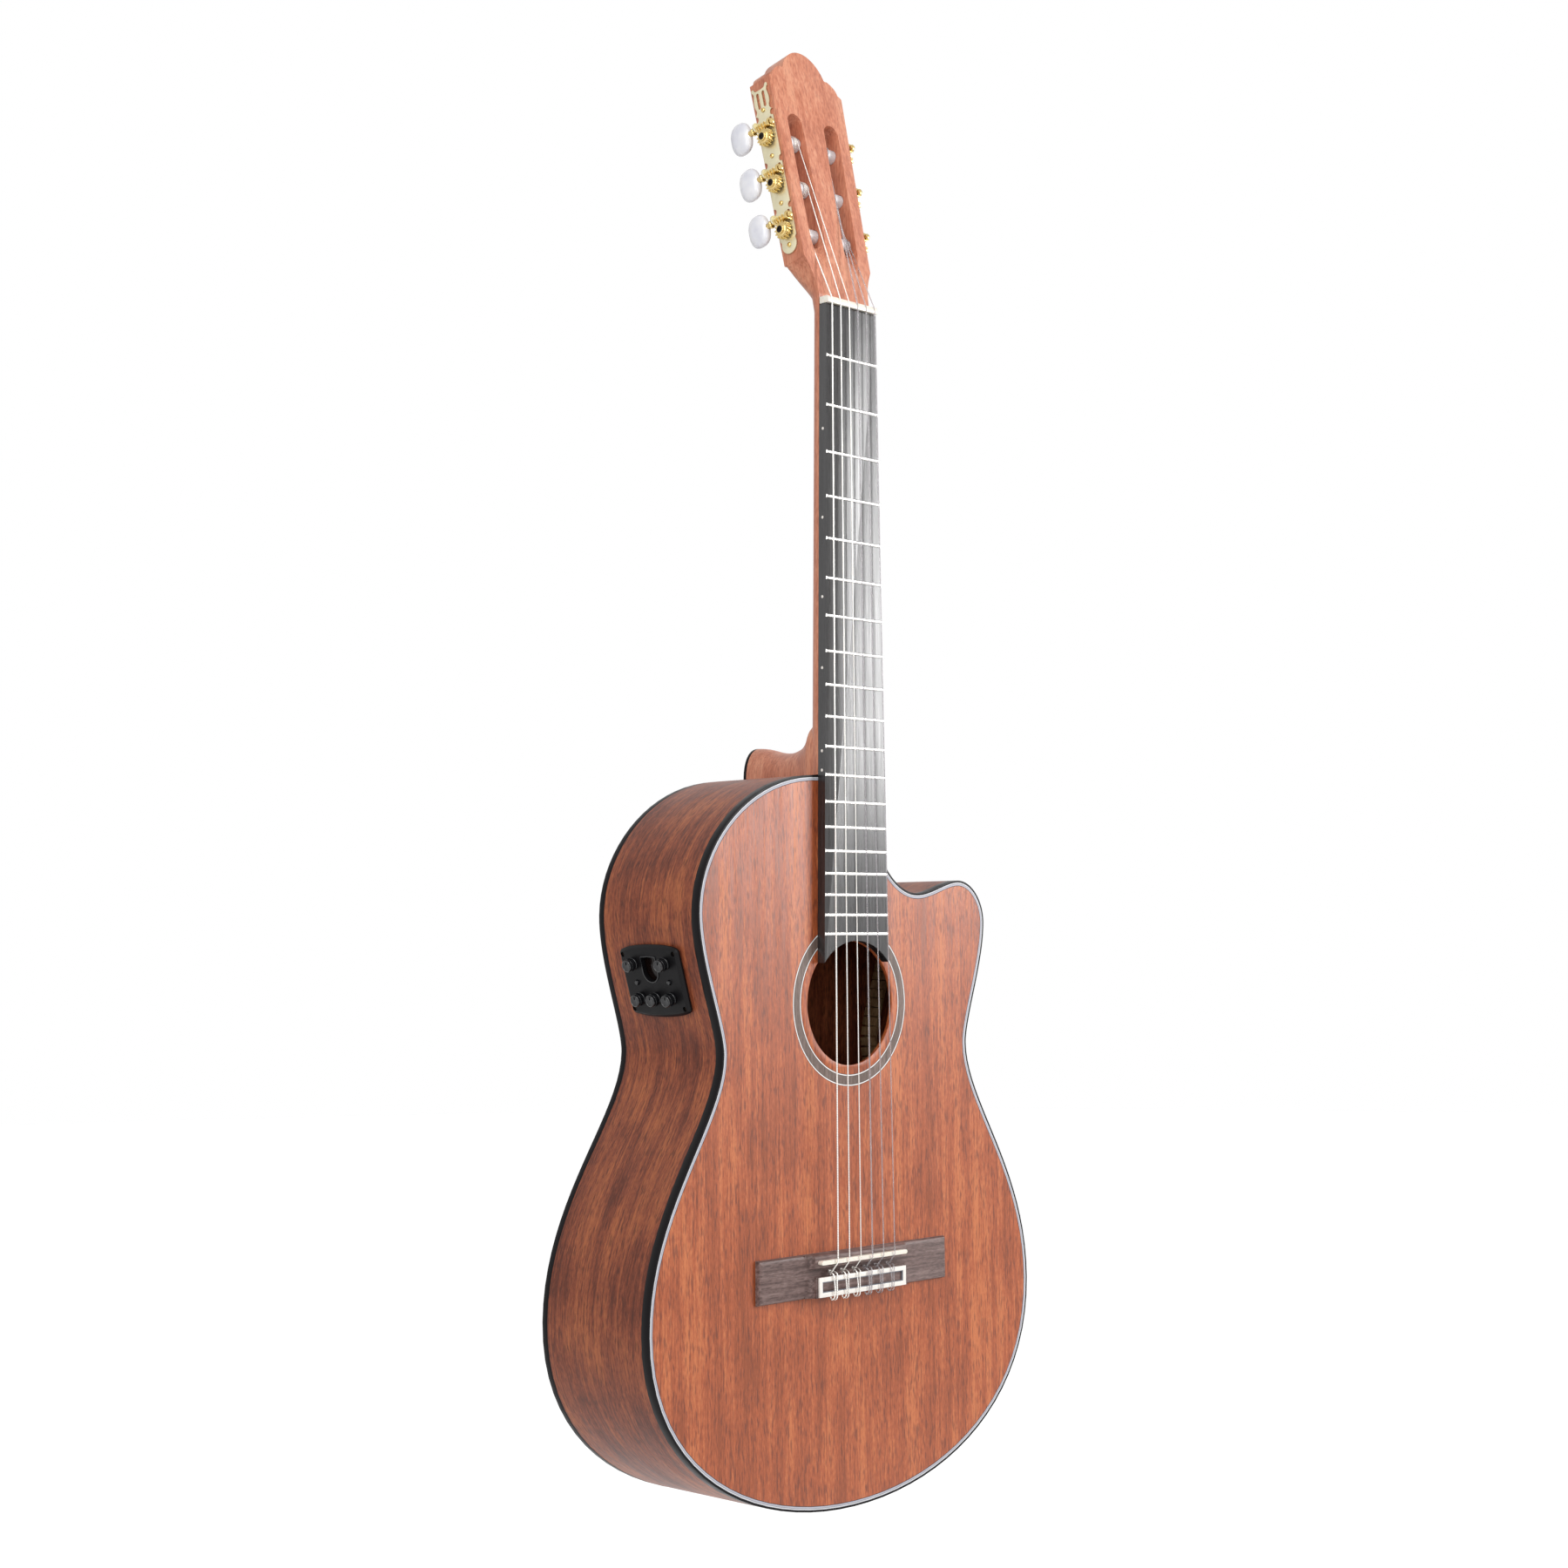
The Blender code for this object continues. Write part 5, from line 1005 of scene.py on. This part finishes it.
def shaft_ear(end, index, width, aside, reach):
    """A tongue with a round top, bent up from the plate and bored for a worm shaft."""
    along = (index - 1) * TUNER_SPACING + WORM_DISTANCE
    ear = board([capsule(aside, -width / 2, GEAR_STANDOFF + reach, width, 12)], -0.75, 0.75)
    placed(soften(ear, 0.2), shift(end * EAR_X, along, 0) @ PROFILE)
    sliced(ear, at(0, 0, BOARD_GAP + 0.2), (0, 0, -1))
    bore = turned([(1.6, -9), (1.6, 9)], 16)
    return cut(ear, placed(bore, shift(0, along, GEAR_STANDOFF) @ spin(90, "Y")))


def worm_lead():
    return 2 * math.pi * (WORM_DISTANCE - WORM_PITCH_RADIUS) / GEAR_TEETH * 0.985


def gear_wheel():
    """A thick wheel with slanting teeth, flat on local z, with a rounded rim at both faces."""
    loop = []
    for tooth in range(GEAR_TEETH):
        middle = 360 / GEAR_TEETH * (tooth + 0.5)
        for radius, offset in ((5.1, -8.0), (5.9, -5.6), (6.4, -3.4), (6.4, 3.4), (5.9, 5.6), (5.1, 8.0)):
            turn = math.radians(middle + offset)
            loop.append((radius * math.cos(turn), radius * math.sin(turn)))
    wheel = soften(board([loop, circle((0, 0), 2.4, 24)], -GEAR_WIDTH / 2, GEAR_WIDTH / 2), 0.25, 2, 60)
    rise = worm_lead() / (2 * math.pi * WORM_PITCH_RADIUS)
    angle = rise * GEAR_WIDTH / (WORM_DISTANCE - WORM_PITCH_RADIUS)
    return apply_to(wheel, "SIMPLE_DEFORM", deform_method="TWIST", deform_axis="Z", angle=angle)


def screw_head(radius, height):
    """A domed screw head with a cross recess."""
    head = turned([(radius * 0.8, 0), (radius, height * 0.25), (radius * 0.92, height * 0.6),
                   (radius * 0.6, height * 0.93), (radius * 0.25, height)], 24)
    x = radius * 0.6
    y = radius * 0.13
    for turn in (0, 90):
        slit = block((-x, -y, height * 0.45), (x, y, height * 2))
        cut(head, placed(slit, spin(turn, "Z")))
    return head


def worm_shaft():
    """A shaft with a real thread between its ears, a collar and sleeve outside them and a stem."""
    shaft = turned([
        (0.5, -10.0), (1.5, -9.9), (1.9, -9.6), (2.1, -8.9), (2.1, -8.2), (1.3, -8.15), (1.3, -6.0),
        (1.65, -5.9), (1.65, 4.2), (2.1, 4.4), (2.1, 5.9), (1.3, 6.0), (1.3, 8.15), (2.4, 8.2), (2.8, 8.6),
        (2.8, 9.9), (2.4, 10.3), (2.25, 10.6), (2.25, 15.0), (2.0, 15.2), (1.6, 15.3), (1.6, 18.4),
    ], 24)
    lead = worm_lead()
    bpy.ops.mesh.primitive_plane_add(size=1)
    thread = bpy.context.object
    corners = ((0.9, 0.62), (2.6, 0.25), (2.6, -0.25), (0.9, -0.62))
    order = sorted(thread.data.vertices, key=lambda v: math.atan2(v.co.y, v.co.x))
    for vertex, (r, z) in zip(order, corners):
        vertex.co = at(r, 0, z - lead * 1.5)
    apply_to(thread, "SCREW", screw_offset=lead * MM, steps=20, render_steps=20, iterations=3)
    open_mesh(thread)
    bpy.ops.mesh.fill_holes(sides=0)
    close_mesh()
    return cut(shaft, thread, operation="UNION")


def oval_button():
    """A pearl button: a squarish oval, thin across, bored for the sleeve and the stem of its shaft."""
    bpy.ops.mesh.primitive_uv_sphere_add(segments=64, ring_count=32, radius=1)
    button = bpy.context.object
    for vertex in button.data.vertices:
        x, y, z = vertex.co
        rim = max(math.hypot(y, z), 1e-6)
        square = (abs(y / rim) ** 2.5 + abs(z / rim) ** 2.5) ** (-1 / 2.5)
        swell = rim ** 0.62 / rim * square
        vertex.co = at(x * 4.4, y * swell * 11.7, z * swell * 9.2)
    placed(cleaned(button), shift(0, 0, BUTTON_CENTRE))
    return cut(button, turned([(2.3, 5), (2.3, 15.3), (1.7, 15.4), (1.7, 18.8)], 24))


def make_tuners():
    wheel = gear_wheel()
    screw = screw_head(2.4, 0.8)
    shaft = worm_shaft()
    button = oval_button()
    small = screw_head(1.7, 1.1)
    for side, numbers, name in ((-1, (6, 5, 4), "bass"), (1, (1, 2, 3), "treble")):
        plate, ears = make_plate(side)
        dressed(plate, f"side_plate_{name}", "plate", stands_for=f"tuner_plate_{name}")
        dressed(ears, f"front_ears_{name}", "gold")
        for i, s in enumerate((41.1, 72.3, 108, 142.9)):
            spot = shift(0, s - LOWEST_TUNER - TUNER_SPACING, BOARD_GAP + PLATE_THICKNESS)
            dressed(copied(small, side_face(side, 1) @ spot), f"plate_screw_{name}_{i + 1}", "gold")
        for index, number in enumerate(numbers):
            base = tuner_place(side, index)
            axle = base @ shift(side * GEAR_STANDOFF, 0, 0) @ spin(90 * side, "Y")
            turning = f"roller_{number}"
            far = 3.5 - GEAR_STANDOFF - head_half(LOWEST_TUNER + index * TUNER_SPACING)
            barrel = turned([(4.4, far), (ROLLER_RADIUS, far + 0.5), (ROLLER_RADIUS, -5.6), (4.7, -5.3),
                             (2.5, -5.2), (2.5, -2.2)], 40)
            dressed(placed(barrel, axle), f"roller_barrel_{number}", "nylon", turning,
                    f"tuner_roller_{number}")
            dressed(copied(wheel, axle), f"gear_wheel_{number}", "gold", turning)
            hub = turned([(2.3, -2.3), (2.3, 2.05), (4.6, 2.1), (4.3, 2.6), (3.5, 3.0)])
            dressed(placed(hub, axle), f"gear_hub_{number}", "gold", turning)
            boss = turned([(3.2, 3.05), (3.3, 3.2), (3.3, 3.8), (3.1, 4.0), (2.5, 4.0), (2.4, 3.7)])
            dressed(placed(boss, axle), f"gear_boss_{number}", "gold", turning)
            dressed(copied(screw, axle @ shift(0, 0, 3.72)), f"gear_screw_{number}", "steel", turning)
            worm = base @ shift(side * GEAR_STANDOFF, WORM_DISTANCE, 0) @ spin(180, "X")
            turning = f"worm_{number}"
            dressed(copied(shaft, worm), f"worm_shaft_{number}", "gold", turning, f"tuner_worm_{number}")
            dressed(copied(button, worm), f"oval_button_{number}", "pearl", turning, f"tuner_button_{number}",
                    smooth=60)
    scrap(wheel, screw, shaft, button, small)


# Preamp and jack

def preamp_place():
    """Origin on the bass side, local z outwards, local y up the side, local x to the front."""
    out = Vector((-0.957791, 0, -0.287466))
    up = Vector((-0.287466, 0, 0.957791))
    axes = Matrix((up.cross(out), up, out)).transposed().to_4x4()
    return shift(-135.614, -0.7, 358.5) @ axes


def panel_edge():
    """Straight at the sides, bowed at the top and bottom, with rounded corners."""
    r = 3.2
    corner = arc((PANEL_HALF - r, 19.07), r, 0, 66.7, 6)
    x, y = corner[-1]
    half = corner + bend((x, y), (-9, 3.87), (9, 3.87), (-x, y), 24)[1:] + mirrored(corner)
    return half + [(-x, -y) for x, y in half]


def window_edge(grow=0.0):
    x = -0.5
    r = 6.7 + grow
    high = 17 + grow
    top = [(x + r, high - 1), (x + r - 1, high - 0.3), (x, high), (x - r + 1, high - 0.3), (x - r, high - 1)]
    return arc((x, 6.6), r, 180, 360, 24) + top


def make_preamp():
    place = preamp_place()
    # Each row of the panel's edge is the outline moved in, at its height: straight, then a broad chamfer.
    rows = ((0, 1.3), (0, 2.5), (0.25, 2.9), (1.9, 4.15), (2.3, PANEL_TOP))
    panel = skinned([[at(x, y, z) for x, y in moved_in(panel_edge(), inset)] for inset, z in rows])
    cut(panel, board([window_edge()], 0, 10))
    for x, y in PUSH_PLACES + KNOB_PLACES:
        cut(panel, placed(turned([(1.92, 0), (1.92, 10)], 24), shift(x, y, 0)))
    floor = PANEL_TOP - PANEL_SCREW_DEPTH
    wells = [(x, y) for x in (-24.2, 24.2) for y in (-18.8, 18.8)]
    for x, y in wells:
        cut(panel, placed(turned([(1.75, floor), (1.75, PANEL_TOP + 3)], 24), shift(x, y, 0)))
    dressed(placed(panel, place), "preamp_face", "panel", stands_for="preamp_panel", smooth=30)
    screw = screw_head(1.5, 0.7)
    for i, (x, y) in enumerate(wells):
        spot = place @ shift(x, y, floor)
        dressed(copied(screw, spot), f"panel_screw_{i + 1}", "steel")
    scrap(screw)
    rim = soften(board([window_edge(0.7), window_edge()], PANEL_TOP - 0.2, PANEL_TOP + 0.5), 0.2)
    dressed(placed(rim, place), "window_rim", "knob")
    lens = soften(board([window_edge(0.8)], -0.2, 1.0), 0.2)
    dressed(placed(lens, place), "smoked_window", "lens", stands_for="display_lens")
    push = turned([(2.4, -3.9), (2.4, -3.4), (1.5, -3.3), (1.5, 1.1), (1.3, 1.45), (0.9, 1.6),
                   (0.6, 1.5)], 28)
    for part, places, name, body, cad in ((ribbed_knob(), KNOB_PLACES, "ribbed_knob", "knob", "preamp_knob"),
                                          (push, PUSH_PLACES, "round_push", "push_button", "preamp_button")):
        for i, (x, y) in enumerate(places, 1):
            dressed(copied(part, place @ shift(x, y, PANEL_TOP)), f"{name}_{i}", "knob", f"{body}_{i}",
                    f"{cad}_{i}")
        scrap(part)


def ribbed_knob():
    """A turned knob: a plain skirt, a grip of fine ribs and a plain crown, with a groove between each."""
    knob = turned([
        (1.5, -5.9), (1.5, 0.4), (4.1, 0.4), (4.3, 0.6), (4.3, 1.6), (4.1, 1.8), (3.7, 1.85), (3.7, 2.25),
        (4.0, 2.3), (4.1, 2.4), (4.1, 4.9), (4.0, 5.0), (3.7, 5.05), (3.7, 5.4), (4.0, 5.45), (4.15, 5.7),
        (4.15, 6.6), (3.95, 7.1), (3.5, 7.4), (3.1, 7.45), (2.9, 7.2), (2.6, 7.1),
    ], 48)
    open_mesh(knob)
    bpy.ops.mesh.select_mode(type="FACE")
    mesh = bmesh.from_edit_mesh(knob.data)
    for face in mesh.faces:
        middle = face.calc_center_median()
        slice_number = math.floor((math.degrees(math.atan2(middle.y, middle.x)) % 360) / 7.5)
        face.select = 2.5 * MM < middle.z < 4.8 * MM and slice_number % 2 == 0
    bmesh.update_edit_mesh(knob.data)
    bpy.ops.mesh.inset(thickness=0.02 * MM, depth=0.35 * MM, use_individual=True)
    close_mesh()
    return joined(knob, block((-0.3, 0.9, 7.0), (0.3, 3.3, 7.5)))


def make_jack():
    jack = turned([(4.7, 31.0), (4.7, -0.5), (9.0, -0.5), (9.0, -1.7), (8.6, -2.2), (7.8, -2.5), (4.2, -2.5),
                   (3.5, -2.3), (3.2, -1.9), (3.2, 29.0)], 48)
    dressed(placed(jack, JACK), "jack_socket", "gold", stands_for="output_jack")


def recoat_inside():
    """Gives the CAD pieces that are carried over their finishes."""
    finishes = {"top_bracing": "lining", "upper_brace": "lining", "back_brace_upper": "lining",
                "back_brace_lower": "lining", "tail_block": "neck", "neck_block": "neck",
                "preamp_housing": "panel", "battery": "battery", "saddle_pickup": "frets"}
    for name, finish in finishes.items():
        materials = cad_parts[name].data.materials
        materials.clear()
        materials.append(FINISHES[finish][0])


# Camera, floor and light

def make_camera():
    """The camera of the photo, as its fit to the frets gives it."""
    yaw = 0.7997
    pitch = 0.0508
    roll = -0.0073
    forward = Vector((math.sin(yaw) * math.cos(pitch), math.cos(yaw) * math.cos(pitch), math.sin(pitch)))
    right = Vector((math.cos(yaw), -math.sin(yaw), 0))
    up = right.cross(forward)
    rolled_right = right * math.cos(roll) + up * math.sin(roll)
    rolled_up = up * math.cos(roll) - right * math.sin(roll)
    axes = Matrix((rolled_right, rolled_up, -forward)).transposed().to_4x4()
    data = bpy.data.cameras.new("camera")
    data.lens = 56.38
    data.sensor_width = 36
    data.shift_x = 0.00098
    data.shift_y = 0.0202
    camera = added("camera", data)
    camera.matrix_world = Matrix.Translation((-1.2421, -1.1916, 0.3837)) @ axes
    bpy.context.scene.camera = camera


def aimed_lamp(name, place, target, size, power):
    data = bpy.data.lights.new(name, "AREA")
    data.shape = "RECTANGLE"
    data.size, data.size_y = size
    data.energy = power
    lamp = added(name, data)
    lamp.location = place
    lamp.rotation_euler = (Vector(target) - Vector(place)).to_track_quat("-Z", "Y").to_euler()


def seen(tree):
    """1 for rays that the eye follows, straight or by a mirror or glass, and 0 for rays that give light."""
    path = node(tree, "LightPath").outputs
    straight = node(tree, "Math", {0: path["Is Camera Ray"], 1: path["Is Glossy Ray"]}, operation="MAXIMUM")
    either = {0: straight.outputs[0], 1: path["Is Transmission Ray"]}
    return node(tree, "Math", either, operation="MAXIMUM").outputs[0]


def make_studio():
    """A white floor well below the hanging guitar, a white room and soft lamps from the front."""
    bpy.ops.mesh.primitive_circle_add(vertices=64, radius=9, fill_type="NGON", location=(0, 0, -0.35))
    floor = placed(bpy.context.object)
    floor.name = "studio_floor"
    paper = bpy.data.materials.new("matt_white_paper")
    paper.use_nodes = True
    tree = paper.node_tree
    surface = tree.nodes["Principled BSDF"]
    surface.inputs["Base Color"].default_value = linear("#e8e8e8")
    surface.inputs["Roughness"].default_value = 0.9
    glow = node(tree, "Emission", {"Color": (1, 1, 1, 1), "Strength": 0.75})
    white = node(tree, "MixShader", {0: seen(tree), 2: glow.outputs[0]})
    sum_up = node(tree, "AddShader", {0: surface.outputs[0], 1: white.outputs[0]})
    tree.links.new(sum_up.outputs[0], tree.nodes["Material Output"].inputs["Surface"])
    floor.data.materials.append(paper)
    world = bpy.context.scene.world or bpy.data.worlds.new("studio")
    bpy.context.scene.world = world
    world.use_nodes = True
    tree = world.node_tree
    tree.nodes.clear()
    room = node(tree, "Background", {"Color": (1, 1, 1, 1), "Strength": 0.25})
    backdrop = node(tree, "Background", {"Color": (1, 1, 1, 1), "Strength": 1.0})
    chosen = node(tree, "MixShader", {0: seen(tree), 1: room.outputs[0], 2: backdrop.outputs[0]})
    node(tree, "OutputWorld", {"Surface": chosen.outputs[0]})
    # The right softbox also gives the front its satin sheen, which grows towards the neck.
    aimed_lamp("right_softbox", (1.5, -1.42, 1.0), (0, 0, 0.65), (0.8, 1.2), 36)
    aimed_lamp("left_softbox", (-2.2, -0.8, 1.4), (0, 0, 0.6), (1.2, 1.6), 22)
    aimed_lamp("low_left_softbox", (-1.6, -2.0, 0.7), (0, 0, 0.5), (1.2, 1.2), 12)
    aimed_lamp("high_left_softbox", (-0.9, -1.1, 1.95), (0, 0, 0.85), (0.8, 0.8), 8)
    bpy.context.scene.view_settings.view_transform = "Standard"


FINISHES = make_finishes()
make_camera()
make_studio()
make_body()
make_neck()
make_fretboard()
make_nut()
make_bridge()
make_strings()
make_tuners()
make_preamp()
make_jack()
recoat_inside()
